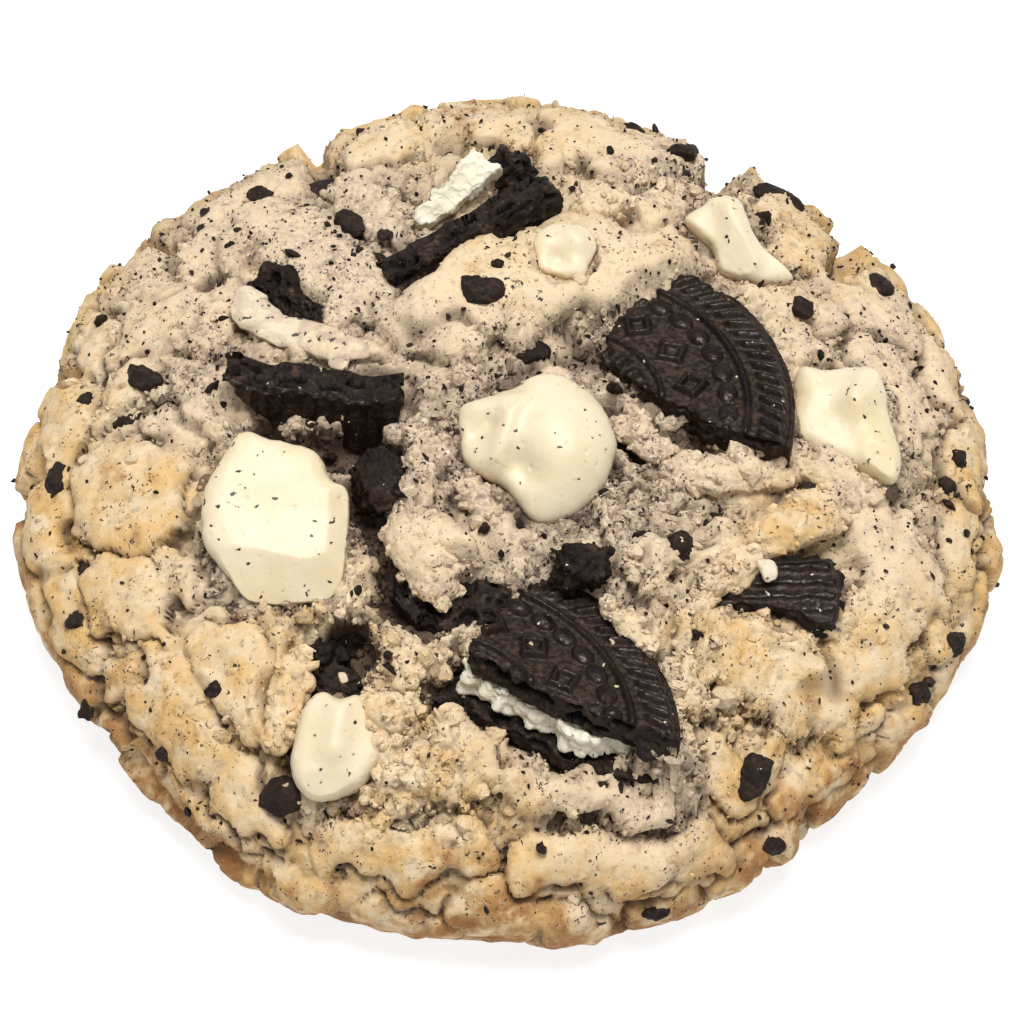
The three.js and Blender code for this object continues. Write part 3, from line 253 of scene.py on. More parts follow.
# Each chip: its place and lean, crown and belly, outline, ridges or dents on the crown as
# (x, y, x, y, width, height), and flat facets as (compass, slope, height over the middle).
CHIPS = {
    "chip_center": {
        "at": (3.1, -4.6, 22.8), "lean": (-90, 14), "crown": 1.5, "belly": 5, "rim": 6,
        "outline": [(-7.3, 3.7), (-6.2, 4.6), (-3, 5.7), (0.3, 7.4), (3.3, 6.8), (5.7, 4.6),
                    (7.1, 2.0), (7.3, 0.1), (6.6, -2.7), (4.6, -5.6), (1.6, -7.3), (-0.6, -6.9),
                    (-2.0, -5.3), (-3.2, -3.9), (-5.2, -2.8), (-6.7, -1.4), (-7.3, 0.6)],
        "ridges": [(1.6, 0.8, 2.4, -0.8, 4.4, 2.0), (-2.5, 3.6, -3.8, -1.6, 1.1, 0.9),
                   (-5.8, 4, -1.4, 4.6, 1.2, 0.6), (-4.7, 1.9, -5.9, 1.1, 1.0, -0.7),
                   (-1.7, -2.3, -1.2, -2.9, 1.5, -1.0)],
        "facets": [(118, 24, 4.6)],
    },
    "chip_left": {
        "at": (-21.5, -11.5, 21.8), "lean": (-90, 16), "crown": 2.0, "belly": 5.5,
        "outline": [(-3.3, 8.2), (-0.7, 7.5), (3.5, 6.3), (5.3, 3.5), (6.7, 2.4), (6.8, -1.5),
                    (6.7, -4.3), (5.5, -7.7), (2.2, -8.5), (-2.2, -8.3), (-4.3, -6), (-6.5, -3.3),
                    (-6.8, -0.8), (-6.8, 1.7), (-6.2, 3.5), (-5, 5.8)],
        "ridges": [(-1.5, -5.6, 2.5, -6.6, 1.6, 0.6)],
        "facets": [(-2, 36, 5.5), (-104, 27, 3.95), (-62, 30, 5.1), (120, 7, 2.6)],
    },
    "chip_low_left": {
        "at": (-15.9, -33.6, 16.5), "lean": (-90, 20), "crown": 2.6, "belly": 4,
        "outline": [(-2.7, 3.8), (-1, 5.2), (0.8, 4.6), (2.7, 4.8), (4.2, 1.3), (4.5, -1.5),
                    (2.3, -4), (-1.5, -5), (-3.5, -3.3), (-3.8, -0.3)],
        "ridges": [(0.8, 3.6, 0.2, -0.5, 1.4, 1.0)],
        "facets": [(-95, 26, 4.0), (175, 30, 4.2), (10, 26, 4.3)],
    },
    "chip_right": {
        "at": (32.5, 0.5, 19.1), "lean": (-90, 5), "crown": 1.6, "belly": 4,
        "outline": [(-4.3, 5.8), (-1.8, 5.8), (1.2, 6.1), (3.3, 5.3), (4, 3.3), (4.3, 0.3),
                    (5.2, -3.5), (4.2, -6.2), (1, -4.7), (-2.7, -3), (-4.9, -1), (-4.7, 2.7)],
        "ridges": [(2.6, 4.9, 0.9, 1.4, 1.6, 1.4), (0.9, 1.4, 2.6, -3.6, 1.5, 0.5),
                   (-3.6, 5, -2.6, 3, 1.6, 0.5)],
        "facets": [(-80, 18, 3.2), (20, 24, 3.9)],
    },
    "chip_top_right": {
        "at": (22.5, 21.4, 19.8), "lean": (-90, 20), "crown": 1.7, "belly": 3.5,
        "outline": [(-5, 2.3), (-3.5, 3.5), (-2.2, 4.5), (0.3, 4.3), (1.1, 2.6), (2.5, -0.5),
                    (5.6, -3.7), (2, -4.5), (-1.5, -3.1), (-2.2, -0.8), (-3.8, 0.8)],
        "ridges": [(-0.8, 3.6, 1, -2.5, 1.3, 1.2)],
        "facets": [(-140, 22, 2.6)],
    },
    "chip_top_center": {
        "at": (5.8, 18, 23.1), "lean": (-90, 10), "crown": 1.0, "belly": 3, "rim": 2.2,
        "outline": [(-3, 1.2), (-1.8, 2.7), (0.4, 2.9), (2.2, 2.4), (3, 0.6), (2.5, -1.2),
                    (1.6, -2.8), (-0.6, -2.6), (-2.3, -1.9), (-2.6, -0.6)],
        "ridges": [(-0.9, -0.9, -0.6, -1, 1, -0.8), (0.6, 1.6, 1.4, 0.6, 0.9, 0.5)],
        "facets": [],
    },
}


def arc(x, y, radius, start, end, steps):
    """Points of a circle's arc: the middle plus the radius in each direction, in degrees."""
    angles = np.linspace(start, end, steps + 1) * DEG
    return list(zip(x + radius * np.cos(angles), y + radius * np.sin(angles)))


LOWER_SANDWICH = {"at": (6.3, -26.2, 21.6), "lean": (-119, -16)}
LOWER_RIM = (-6.7, -14.3)  # the whole biscuit's middle in that frame

# Broken biscuit: the frame, depth of the face under its plane, thickness, outline, and, where
# the true rim shows, the whole biscuit's middle.
SLABS = {
    "wafer_embossed": {
        "kind": "face", "at": (18.5, 6.4, 22.2), "lean": (-90, -10), "start": 0, "thickness": 3.2,
        "centre": (-13.5, -6.4),
        "outline": arc(-13.5, -6.4, BISCUIT_RADIUS, -14, 41, 12) + [
            (1.8, 9.3), (-0.3, 11.3), (-3, 9.4), (-5.5, 7.5), (-7.6, 5.4), (-8.6, 2.5),
            (-9, -0.4), (-7.4, -2.4), (-3.5, -5.6), (0.5, -8.4), (3.2, -10.2)],
    },
    "wafer_lower_top": {
        "kind": "face", **LOWER_SANDWICH, "start": 0, "thickness": 2.8, "centre": LOWER_RIM,
        "outline": arc(*LOWER_RIM, BISCUIT_RADIUS, 26, 83, 13) + [
            (-6.8, 7), (-7, 5), (-7.6, 2), (-8.1, -1), (-8.6, -4.4), (-7.4, -5.6), (-4, -5.4),
            (-1.5, -6), (2, -6.4), (5.5, -5.6), (9.5, -5.2)],
    },
    "cream_lower": {
        "kind": "cream", **LOWER_SANDWICH, "start": 3.15, "thickness": 2.4, "under": True,
        "beads": 1.5,
        "outline": arc(*LOWER_RIM, BISCUIT_RADIUS - 1.6, 34, 76, 7) + [
            (-6, 4), (-7.4, 0), (-8.9, -4), (-8.2, -5.6), (-6.4, -5.3), (-4.6, -6.2),
            (-2.6, -5.4), (-1, -6.2), (1.5, -5.7), (3.4, -6.6), (5.4, -6.2), (6.3, -5), (9, -4)],
    },
    "wafer_lower_bottom": {
        "kind": "broken", **LOWER_SANDWICH, "start": 5.9, "thickness": 3.6, "under": True,
        "outline": arc(*LOWER_RIM, BISCUIT_RADIUS, 27, 80, 9) + [
            (-7.6, 4), (-9.4, 0), (-10.4, -4.6), (-9.8, -7.4), (-7.2, -6.4), (-4, -7),
            (-1, -6.6), (3, -7.2), (6, -6.6), (10, -5.6)],
    },
    "wafer_left": {
        "kind": "reeded", "grain": 0, "at": (-18, 0.9, 22.4), "lean": (-100, 76), "start": 0,
        "thickness": 3.8,
        "outline": [(-9, 1.5), (-7.6, -1), (-6, -2.6), (-4.2, -4), (-2, -4.9), (1.2, -5.1),
                    (4.5, -6), (6.7, -3.6), (7.6, -1.5), (7.8, 2), (5, 1), (1.2, 1.2), (-3, 1.1),
                    (-6, 0.7)],
    },
    "wafer_left_back": {
        "kind": "broken", "at": (-21.4, 14, 20.9), "lean": (-140, 50), "start": 0,
        "thickness": 2.6,
        "outline": [(-5, -2), (-3, -2.4), (0, -2.6), (3, -2.2), (5.6, -1.2), (5.6, 0.9),
                    (4.3, 1.1), (2, 1.2), (-0.5, 2), (-2, 2.5), (-4.4, 1.2)],
    },
    "wafer_top": {
        "kind": "broken", "at": (-2.8, 19.6, 23.4), "lean": (-60, 78), "start": 0, "thickness": 3,
        "outline": [(-9.8, -0.4), (-8.5, -3.4), (-4, -4.6), (1, -4.8), (6, -4.2), (9.6, -2.6),
                    (10, 0.3), (8, 1.4), (5, 1.2), (1, 0.4), (-3, 0.3), (-7, -0.4)],
    },
    "wafer_top_back": {
        "kind": "broken", "at": (0.6, 29.2, 20.6), "lean": (-60, 60), "start": 0, "thickness": 2.4,
        "outline": [(-2.6, 0.4), (-1.8, -2), (1, -2.2), (2.8, -1.2), (2.4, 0.8), (0.6, 2),
                    (-1.2, 1.8)],
    },
    "wafer_right": {
        "kind": "reeded", "grain": 80, "at": (25, -18.9, 19.7), "lean": (-80, 5), "start": 0,
        "thickness": 3, "middle": (2.5, 0.8),
        "outline": [(-6, 0.6), (-3.5, 2.4), (-1.5, 3.4), (2, 3.5), (6.2, 2.7), (6.7, 1),
                    (6, -2.6), (5, -3.9), (3.6, -3.5), (2, -2), (-0.5, -1), (-3, -0.2), (-5, -0.2)],
    },
    "wafer_under": {
        "kind": "broken", "at": (-4.4, -20.4, 20), "lean": (-90, 10), "start": 0, "thickness": 3,
        "outline": [(-6.4, 2), (-5.4, 0), (-4, -1.6), (-2, -2.1), (2, -2), (4, -1), (5.4, 0.5),
                    (4.8, 2), (2, 2.8), (-2, 2.8), (-4.6, 3.2)],
    },
    "wafer_low_left": {
        "kind": "broken", "at": (-16.4, -25.6, 17), "lean": (-90, 20), "start": 0, "thickness": 3,
        "outline": [(-2.4, 2.4), (-1, 2.9), (1, 1.6), (2, 0.5), (3.3, -1), (2.8, -2.4),
                    (0.5, -2.8), (-1.5, -2), (-2.5, 0.4)],
    },
    "cream_top": {
        "kind": "cream", "at": (-5.4, 26.3, 21.5), "lean": (-90, 20), "start": -0.9,
        "thickness": 4, "beads": 0.9,
        "outline": [(-3.4, -2.2), (-1.8, -0.6), (-0.2, 1), (1, 2.8), (2.2, 4), (3.4, 3.6),
                    (4.6, 2.2), (3, 0.4), (0.2, -2), (-2, -3.6), (-3, -3.6)],
    },
}

# The plain pattern pressed in the dark faces: bands as (inner radius, outer radius, width of
# their sides), and how many of each shape go round.
REED_BAND, REED_RADIUS, REED_SLANT = (18.9, 22.0, 0.8), 20.6, 2.2
RAISED_RINGS = [(17.5, 18.6, 0.5), (9.6, 10.5, 0.45), (5.6, 6.4, 0.4)]
BEADS, BEAD_RADIUS = 38, 16.2
LOZENGES, LOZENGE_RADIUS, LOZENGE_HALF = 17, 12.9, 2.1
SPOKES, SPOKE_BAND = 26, (6.9, 9.3, 0.8)

CHUNKS = {
    "chunk_center": {"at": (7.1, -17.4, 21.9), "half": (2.5, 2.1, 2.2), "turn": 20},
    "chunk_gap": {"at": (-12.2, -7.2, 20.6), "half": (2.1, 3, 1.9), "turn": 10},
}

# Dough that laps over its neighbours, each along a spine of (x, y, z, half width).
LAPS = [
    [(-9.2, -10.7, 21.2, 2.4), (-8.6, -13.6, 22.0, 2.9), (-7, -17, 22.2, 2.7), (-5.2, -20.2, 21.4, 2.3)],
    [(22.8, -14, 20.2, 1.7), (26.2, -12.2, 20.5, 2.4), (30.4, -10, 19.5, 2.1), (32.6, -8.9, 18.4, 1.2)],
    [(23.4, -14.8, 20.4, 1.3), (21.2, -16.6, 20.6, 1.9), (18.9, -18.6, 20.2, 1.3)],
    [(-4.2, -7.2, 21.6, 1.2), (-2.4, -9.3, 21.7, 1.6), (-0.2, -12.2, 21, 1.3)],
    [(26.4, -3, 20, 1.3), (29.6, -4.1, 19.7, 2.0), (33.6, -6, 18, 1.7), (36.6, -6.8, 16.4, 1.2)],
    [(-13.6, -29.6, 18.6, 1.3), (-11, -31.4, 19, 2.4), (-9.4, -33, 18.6, 1.8)],
    [(-10.6, -33.4, 18, 1.5), (-10.4, -36.4, 16.6, 1.8)],
    [(9.2, -21.4, 22.0, 0.6), (11.6, -23.4, 21.7, 0.9), (13.7, -25.1, 20.5, 0.5)],
    [(11, -0.4, 21.3, 1.2), (13, -2.6, 21.7, 1.7), (14.6, -5, 21.2, 1.3)],
    [(15, -5.8, 21.1, 1.5), (19, -6.8, 21.3, 2.2), (23.4, -6, 20.4, 1.9), (26, -5.2, 20, 1.3)],
    [(-19.4, -24.4, 18.2, 1.4), (-20.2, -28, 17.4, 1.9), (-21, -33.6, 15.4, 1.5)],
    [(6.6, 24.4, 21.6, 1.3), (9.2, 24.8, 21.7, 1.7), (12.6, 25.2, 21, 1.3)],
]

# Melted white filling, run out in the same way, and drops of it.
SMEARS = [
    [(-25.2, 16.2, 20.2, 1.3), (-24.6, 12.8, 20.7, 2.1), (-22.2, 10.4, 21.1, 1.5),
     (-19, 8.9, 21.5, 1.7), (-15.8, 7.5, 22, 1.9), (-12.4, 6.6, 22.2, 1.3)],
    [(-16.6, 5.8, 22.2, 0.7), (-14.6, 5.2, 22.4, 0.9)],
    [(23.6, -17.2, 21.1, 1.3), (25.2, -16.8, 21, 1.2)],
    [(12.4, -34.8, 17.9, 0.9), (13.8, -34.4, 17.8, 0.8)],
    [(-15.2, -27.9, 19.6, 0.6), (-14.4, -27.6, 19.6, 0.5)],
]

# Dark crumbs that show from a step away: x, y, length, breadth, turn.
CRUMBS = [
    (-18.8, 31.3, 5.4, 2.6, 35), (-24.6, 30.2, 2.6, 1.8, 0), (-15.3, 23.8, 2.9, 1.8, -60),
    (-34.7, 7, 3.8, 2, -35), (-40.6, 7, 1.6, 1.5, 0), (-36.3, 3.4, 2.8, 1.3, 0),
    (-2.6, 12.9, 3.6, 2.4, -5), (-33.2, 23.5, 1.7, 1.5, 0), (-43.3, -1.7, 2.8, 1.8, 80),
    (-40.2, -11.2, 1.8, 1.6, 0), (-41.1, -16.8, 1.6, 1.4, 0), (-40, -23.8, 2, 1.4, 30),
    (-31.9, -31, 1.3, 1.2, 0), (2.7, 7.4, 2.4, 1.9, 0), (28.7, 14, 1.9, 1.8, 0),
    (36.9, 20.5, 2.3, 2, 30), (31.6, 19.6, 1.7, 1.5, 0), (37.8, 12.3, 2, 1.5, 40),
    (27.4, 32.1, 3.9, 2.2, -20), (12.9, 41.4, 1.8, 1.6, 0), (17.9, 35, 2.8, 2, 60),
    (44, 0.9, 1.5, 1.5, 0), (42.5, -2.8, 1.6, 1.5, 0), (42.9, -17.9, 2.3, 1.9, 60),
    (39.4, -23.5, 1.9, 1.8, 0), (23.3, -34.9, 3.8, 2.3, 75), (25.2, -39.4, 2, 1.3, 0),
    (14.3, -45, 2.6, 1.2, 0), (16.8, -14, 2.4, 2.6, 20), (13.4, -35.6, 1.9, 2.3, 0),
    (-20.6, -37.2, 3.6, 3, 20), (-27.3, -27.2, 1.2, 1.1, 0), (21, 22.5, 1.6, 1.2, 0),
]

# Loose lumps: seed, smallest and largest radius, how far each corner is pushed, how finely
# the pebble is cut, how deep it sinks, as a part of its size, and how far it is stretched.
LOOSE = {
    "dark_bits": (61, 0.15, 0.58, 0.15, 1, 0.35, 0.5),
    "dark_grit": (62, 0.05, 0.19, 0.3, 0, 0.35, 0.6),
    "dough_crumbs": (63, 0.3, 0.85, 0.12, 1, 0.8, 0.35),
    "dough_grains": (64, 0.12, 0.34, 0.15, 0, 0.55, 0.35),
}

# ---------------------------------------------------------------- noise


def scramble(cell, seed):
    """A repeatable whole number for each corner of a lattice: products and shifts of its place."""
    i, j, k = (cell[..., axis].astype(np.int64).astype(np.uint32) for axis in range(3))
    code = i * np.uint32(374761393) + j * np.uint32(668265263) + k * np.uint32(2246822519)
    code = code + np.uint32(seed * 3266489917 % 2**32)
    code = (code ^ (code >> np.uint32(15))) * np.uint32(2246822519)
    code = (code ^ (code >> np.uint32(13))) * np.uint32(3266489917)
    return code ^ (code >> np.uint32(16))


def spread(code):
    """Three numbers from -1 to 1 out of one scrambled whole number: its runs of ten bits."""
    parts = [(code >> np.uint32(shift)) & np.uint32(1023) for shift in (0, 10, 20)]
    return np.stack(parts, -1) / 511.5 - 1


def noise(points, size, seed):
    """Gradient noise, about -1 to 1: slopes at the corners of a lattice, blended between."""
    place = points / size
    cell = np.floor(place)
    t = place - cell
    blend = t * t * t * (t * (t * 6 - 15) + 10)
    total = np.zeros(points.shape[:-1])
    for corner in np.ndindex(2, 2, 2):
        step = np.array(corner)
        slope = spread(scramble(cell + step, seed))
        weight = np.prod(np.where(step, blend, 1 - blend), -1)
        total += weight * np.sum(slope * (t - step), -1)
    return total * 1.3


def rough(points, size, seed, octaves=4, gain=0.5):
    """Noise over noise: each layer is half as wide and `gain` times as high as the last."""
    total = 0
    for octave in range(octaves):
        total = total + gain**octave * noise(points + 17.3 * octave, size / 2**octave, seed + octave)
    return total


def cells(points, size, seed):
    """Distances to the nearest and second nearest of one random point in each lattice cell,
    as parts of the cell's size."""
    place = points / size
    cell = np.floor(place)
    first = np.full(points.shape[:-1], np.inf)
    second = first.copy()
    for offset in np.ndindex(3, 3, 3):
        corner = cell + np.array(offset) - 1
        gap = np.linalg.norm(corner + 0.5 + 0.5 * spread(scramble(corner, seed)) - place, axis=-1)
        second = np.minimum(second, np.maximum(first, gap))
        first = np.minimum(first, gap)
    return first, second


def in_mm(setting):
    """One of the scene's lengths, in millimetres."""
    return getattr(bpy.context.scene.cookie_sizes, setting) / MM


def smoothstep(value, low, high):
    """0 below low, 1 above high, and an S-shaped climb between."""
    t = np.clip((value - low) / (high - low), 0, 1)
    return t * t * (3 - 2 * t)


def soft_min(a, b, width):
    """The smaller of two heights, rounded where they cross within `width` of each other."""
    t = np.clip(0.5 + 0.5 * (b - a) / width, 0, 1)
    return b + (a - b) * t - width * t * (1 - t)


def chance(n):
    """A repeatable number from 0 to 1 for each whole number: the tail of a large sine."""
    x = np.sin(n * 12.9898) * 43758.5453
    return x - np.floor(x)


def unit(vectors):
    """Vectors of the same directions with a length of 1."""
    return vectors / np.maximum(np.linalg.norm(vectors, axis=-1, keepdims=True), 1e-12)


def spin(angle):
    """The matrix that turns rows of points about +Z by an angle in radians."""
    c, s = np.cos(angle), np.sin(angle)
    return np.array([[c, s, 0], [-s, c, 0], [0, 0, 1]])


# ---------------------------------------------------------------- the dome


@functools.cache
def profile():
    """The side profile as (run, r, z): a superellipse over a quarter ellipse."""
    t = np.linspace(0, np.pi / 2, PROFILE_STEPS + 1)
    drop = np.linspace(0, 1, FOOT_STEPS + 1)[1:]
    r = np.concatenate([COOKIE_RADIUS * np.sin(t) ** (2 / DOME_FULLNESS),
                        COOKIE_RADIUS - BASE_INSET * (1 - np.sqrt(1 - drop**2))])
    rise = np.abs(np.cos(t)) ** (2 * DOME_SHOULDER)
    z = np.concatenate([WAIST_HEIGHT + (CROWN_HEIGHT - WAIST_HEIGHT) * rise,
                        WAIST_HEIGHT * (1 - drop)])
    run = np.concatenate([[0], np.cumsum(np.hypot(np.diff(r), np.diff(z)))])
    return run, r, z


def waist_run():
    return profile()[0][PROFILE_STEPS]


def foot_run():
    return profile()[0][-1]


def profile_at(run):
    """The profile's point (r, z) at an arc length, and the unit normal (r, z) there."""
    runs, r, z = profile()
    slope_r = np.gradient(r, runs)
    slope_z = np.gradient(z, runs)
    length = np.hypot(slope_r, slope_z)
    return (np.interp(run, runs, r), np.interp(run, runs, z),
            np.interp(run, runs, -slope_z / length), np.interp(run, runs, slope_r / length))


def waved(r, angle):
    """A distance from the axis with the outline's waves put in, which die out inwards."""
    wave = sum(depth * np.cos(count * (angle - crest * DEG)) for count, depth, crest in OUTLINE_WAVES)
    return r * (1 + wave * (r / COOKIE_RADIUS) ** 3)


def unroll(points):
    """Points seen from above laid out flat: same direction, distance along the profile."""
    x, y = points[..., 0], points[..., 1]
    radius = np.hypot(x, y)
    runs, r, _ = profile()
    inside = np.interp(radius, r[:PROFILE_STEPS + 1], runs[:PROFILE_STEPS + 1])
    run = np.where(radius < COOKIE_RADIUS, inside, waist_run() + radius - COOKIE_RADIUS)
    stretch = np.where(radius > 1e-9, run / np.maximum(radius, 1e-9), 1)
    return np.stack([x * stretch, y * stretch], -1)


# ---------------------------------------------------------------- the crags


def side_lobes():
    """Low lobes round the waist: equal steps of angle, with everything about them uneven."""
    rows = []
    for k in range(SIDE_LOBES):
        angle = ((k + 0.7 * chance(k + 1)) / SIDE_LOBES) * TURN
        sweep = (2 + 3 * chance(k + 101)) / COOKIE_RADIUS
        radius = COOKIE_RADIUS + 5 * chance(k + 201) - 0.5
        width = 2.8 + 2.2 * chance(k + 301)
        end = radius + 3 * (chance(k + 401) - 0.5)
        rows.append((
            0.3 + 0.9 * chance(k + 501),
            (radius * np.cos(angle), radius * np.sin(angle), width),
            (end * np.cos(angle + sweep), end * np.sin(angle + sweep), width * 0.9),
        ))
    return rows


def flattened(rows):
    """Lobes or hollows with their spines laid out flat."""
    flat = []
    for level, *spine in rows:
        spine = np.array(spine, float)
        spine[:, :2] = unroll(spine[:, :2])
        flat.append((level, spine))
    return flat


def spine_distance(u, v, spine):
    """Distance to a spine as a multiple of its half width there, and that half width."""
    best = np.full(u.shape, np.inf)
    width = np.ones(u.shape)
    ends = spine[1:] if len(spine) > 1 else spine
    for (au, av, aw), (bu, bv, bw) in zip(spine, ends):
        du, dv = bu - au, bv - av
        t = np.clip(((u - au) * du + (v - av) * dv) / (du * du + dv * dv or 1), 0, 1)
        half = aw + t * (bw - aw)
        d = np.hypot(u - au - t * du, v - av - t * dv) / half
        width = np.where(d < best, half, width)
        best = np.minimum(d, best)
    return best, width


def wander(u, v):
    """Sines that push the lobes' outlines about."""
    return (u + 0.8 * np.sin(0.62 * v + 1.1) + 0.45 * np.sin(1.31 * u + 0.73 * v + 2),
            v + 0.8 * np.sin(0.58 * u + 0.4) + 0.45 * np.sin(1.17 * u - 0.91 * v + 0.7))


def lobe_height(u, v, infill):
    """Height of the crags over the dome, the highest of the crumbly infill and all pillows;
    how near to the middle of its own pillow (1) or to a crevice (0) each point is; and how
    far the next pillow is below. A pillow falls from its level to the crevice floor as
    (1 - d^2.4)^0.6 of the distance d from its spine."""
    height = np.maximum(CREVICE_FLOOR, infill)
    second = np.full(u.shape, CREVICE_FLOOR)
    fullness = np.full(u.shape, INFILL_FULLNESS)
    for level, spine in flattened(LOBES + side_lobes()):
        d, _ = spine_distance(u, v, spine)
        pillow = np.maximum(0, 1 - (d / LOBE_SPREAD) ** 2.4) ** 0.6
        rise = CREVICE_FLOOR + (level - CREVICE_FLOOR) * pillow
        fullness = np.where(rise > height, pillow, fullness)
        second = np.maximum(second, np.minimum(rise, height))
        height = np.maximum(rise, height)
    return height, fullness, height - second


def hollow_limit(u, v):
    """The most that the dough may rise beside the hollows: a floor and a slope out of it."""
    limit = np.full(u.shape, FREE_RISE)
    for level, spine in flattened(HOLLOWS):
        d, width = spine_distance(u, v, spine)
        limit = np.minimum(limit, level + HOLLOW_SLOPE * width * np.maximum(0, d - 1))
    return limit


def outline_distance(x, y, outline):
    """Distance of points from a closed outline, negative inside it."""
    inside = np.zeros(x.shape, bool)
    nearest = np.full(x.shape, np.inf)
    for (ax, ay), (bx, by) in zip(np.roll(outline, 1, 0), outline):
        along = ((x - ax) * (bx - ax) + (y - ay) * (by - ay)) / ((bx - ax) ** 2 + (by - ay) ** 2)
        t = np.clip(along, 0, 1)
        nearest = np.minimum(nearest, np.hypot(x - ax - t * (bx - ax), y - ay - t * (by - ay)))
        if ay != by:
            crossed = ((ay > y) != (by > y)) & (x < ax + (y - ay) / (by - ay) * (bx - ax))
            inside ^= crossed
    return np.where(inside, -nearest, nearest)


def piece_frame(spec):
    """A piece's axes as rows: level, climbing away from the lean, and the face's normal."""
    compass, tilt = spec["lean"][0] * DEG, spec["lean"][1] * DEG
    normal = np.array([np.sin(tilt) * np.cos(compass), np.sin(tilt) * np.sin(compass), np.cos(tilt)])
    level = np.array([-np.sin(compass), np.cos(compass), 0])
    return np.stack([level, np.cross(normal, level), normal])


def placed(local, spec):
    """Points of a piece's own frame in the cookie's frame."""
    return local @ piece_frame(spec) + np.array(spec["at"])


def bed_height(x, y, z, limit):
    """The dough fitted to the pieces that lie flat in it, and how far outside them it is.
    Its height is held between a floor under each piece's face and a roof just below it."""
    apart = np.full(x.shape, np.inf)
    uneven = np.exp(0.6 * rough(np.stack([x, y, 0 * x], -1), 3.4, 74, 2))
    for spec in [*CHIPS.values(), *SLABS.values()]:
        if abs(spec["lean"][1]) >= LYING_TILT or spec.get("under"):
            continue
        axes = piece_frame(spec)
        ax, ay, az = spec["at"]
        normal = axes[2]
        plane = az - (normal[0] * (x - ax) + normal[1] * (y - ay)) / normal[2]
        local = np.stack([x - ax, y - ay, plane - az], -1) @ axes.T
        outline = np.array(spec["outline"])
        reach = np.maximum(0, outline_distance(local[..., 0], local[..., 1], outline))
        gap = reach * uneven
        face = plane - spec.get("start", 0)
        sort = "chip" if "crown" in spec else "slab"
        low = np.minimum(limit, face - BED_DEPTH[sort] - BED_WALL[sort] * gap
                         - BED_CURVE * reach**2)
        high = face - COVER_GAP + BED_SLOPE * gap
        z = np.minimum(np.maximum(z, low), high)
        apart = np.minimum(apart, gap)
    return z, apart


def tones_at(x, y):
    """Golden, toasted, mauve and crumbly shares: the rows of TONES averaged, each by a bell
    curve of its distance over its reach."""
    total = np.full(x.shape, TONE_REST_WEIGHT)
    shares = [TONE_REST_WEIGHT * rest * np.ones(x.shape) for rest in TONE_REST]
    for px, py, reach, *values in TONES:
        weight = np.exp(-((x - px) ** 2 + (y - py) ** 2) / reach**2)
        total = total + weight
        shares = [share + weight * value for share, value in zip(shares, values)]
    return [share / total for share in shares]


def skin(run, angle):
    """The dough's skin: lobes over the dome, held down by the hollows and fitted to the pieces
    that lie in it; lumps, granules and pits go on along its normal afterwards.
    """
    r, z, out, up = profile_at(run)
    flat = np.stack([run * np.cos(angle), run * np.sin(angle), np.zeros(run.shape)], -1)
    u, v = wander(flat[..., 0], flat[..., 1])
    ragged = in_mm("ragged_edge") * (1 - 0.6 * (1 - smoothstep(z, 7, 16)))
    u = u + ragged * rough(flat, 3.0, 11, 3)
    v = v + ragged * rough(flat, 3.0, 29, 3)
    lump, _ = cells(flat + 0.5 * rough(flat, 2, 73, 2)[..., None], 2.6, 71)
    infill = INFILL_LEVEL + 0.8 * rough(flat, 6, 72, 2) + 1.1 * (0.45 - lump)
    height, fullness, lead = lobe_height(u, v, infill)
    limit = hollow_limit(u, v)
    fade = smoothstep(z, 0, FOOT_FADE)
    lift = fade * np.minimum(height, limit)
    radius = waved(r, angle) + lift * out
    x, y = radius * np.cos(angle), radius * np.sin(angle)
    z, apart = bed_height(x, y, z + lift * up, z + limit * up)
    points = np.stack([x, y, np.maximum(0, z)], -1)
    # Painted shade, partly biscuit residue: deep hollows high on the cookie, which the finish darkens
    # towards the crevice colour.
    deep = smoothstep(-limit, 1.2, 3.2) * smoothstep(z, 9, 15)
    dome_normal = np.stack([out * np.cos(angle), out * np.sin(angle), up], -1)
    return points, dome_normal, fullness, lead, deep, fade, apart


def grid_cross(points):
    """The cross product of a grid's two directions: along the normal, as long as a cell is
    large."""
    return np.cross(np.gradient(points, axis=0), np.gradient(points, axis=1))


def stains(points, edge, beside):
    """What the dough's finish reads at each point: the rows of TONES, made uneven by noise,
    golden and toasted towards the foot, the toasting there partly real browning and partly
    painted shade of the lower side, and dusty in gaps and beside the dark pieces."""
    golden, toasted, mauve, crumbly = tones_at(points[..., 0], points[..., 1])
    broad, medium, fine = (rough(points + shift, size, seed, 3)
                           for shift, size, seed in ((0, 7.0, 41), (30, 3.2, 42), (60, 1.3, 43)))
    low = 1 - smoothstep(points[..., 2], 4.0, 15.0)
    foot = 1 - smoothstep(points[..., 2], 0.5, 10.0)
    crumbly = crumbly * (0.9 + 0.9 * broad) + 0.5 * edge + 0.35 * beside - 0.1
    grey = mauve * (1 - 0.6 * low) + 0.2 * edge + 0.2 * beside
    return {
        "golden": smoothstep(golden + 0.9 * low + 0.4 * medium + 0.15 * fine, 0.1, 0.85),
        # Partly real browning and partly painted shade: the lower side and the foot are darkened towards
        # toasted brown.
        "toasted": smoothstep(toasted + 0.5 * low + 0.6 * foot + 0.5 * medium + 0.25 * fine, 0.3, 1.1),
        "mauve": smoothstep(grey + 0.4 * medium + 0.2 * fine, 0.2, 0.95),
        "dusty": smoothstep(0.6 * mauve + 0.3 * edge + 0.4 * beside + 0.7 * medium + 0.4 * fine
                            - 0.4 * low, 0.45, 1.2),
        "crumbly": np.clip(crumbly, 0, 1) * (1 - 0.8 * low),
        "peppered": smoothstep(0.4 + 0.3 * mauve + 0.7 * broad + 0.7 * medium, 0.1, 1.0),
    }


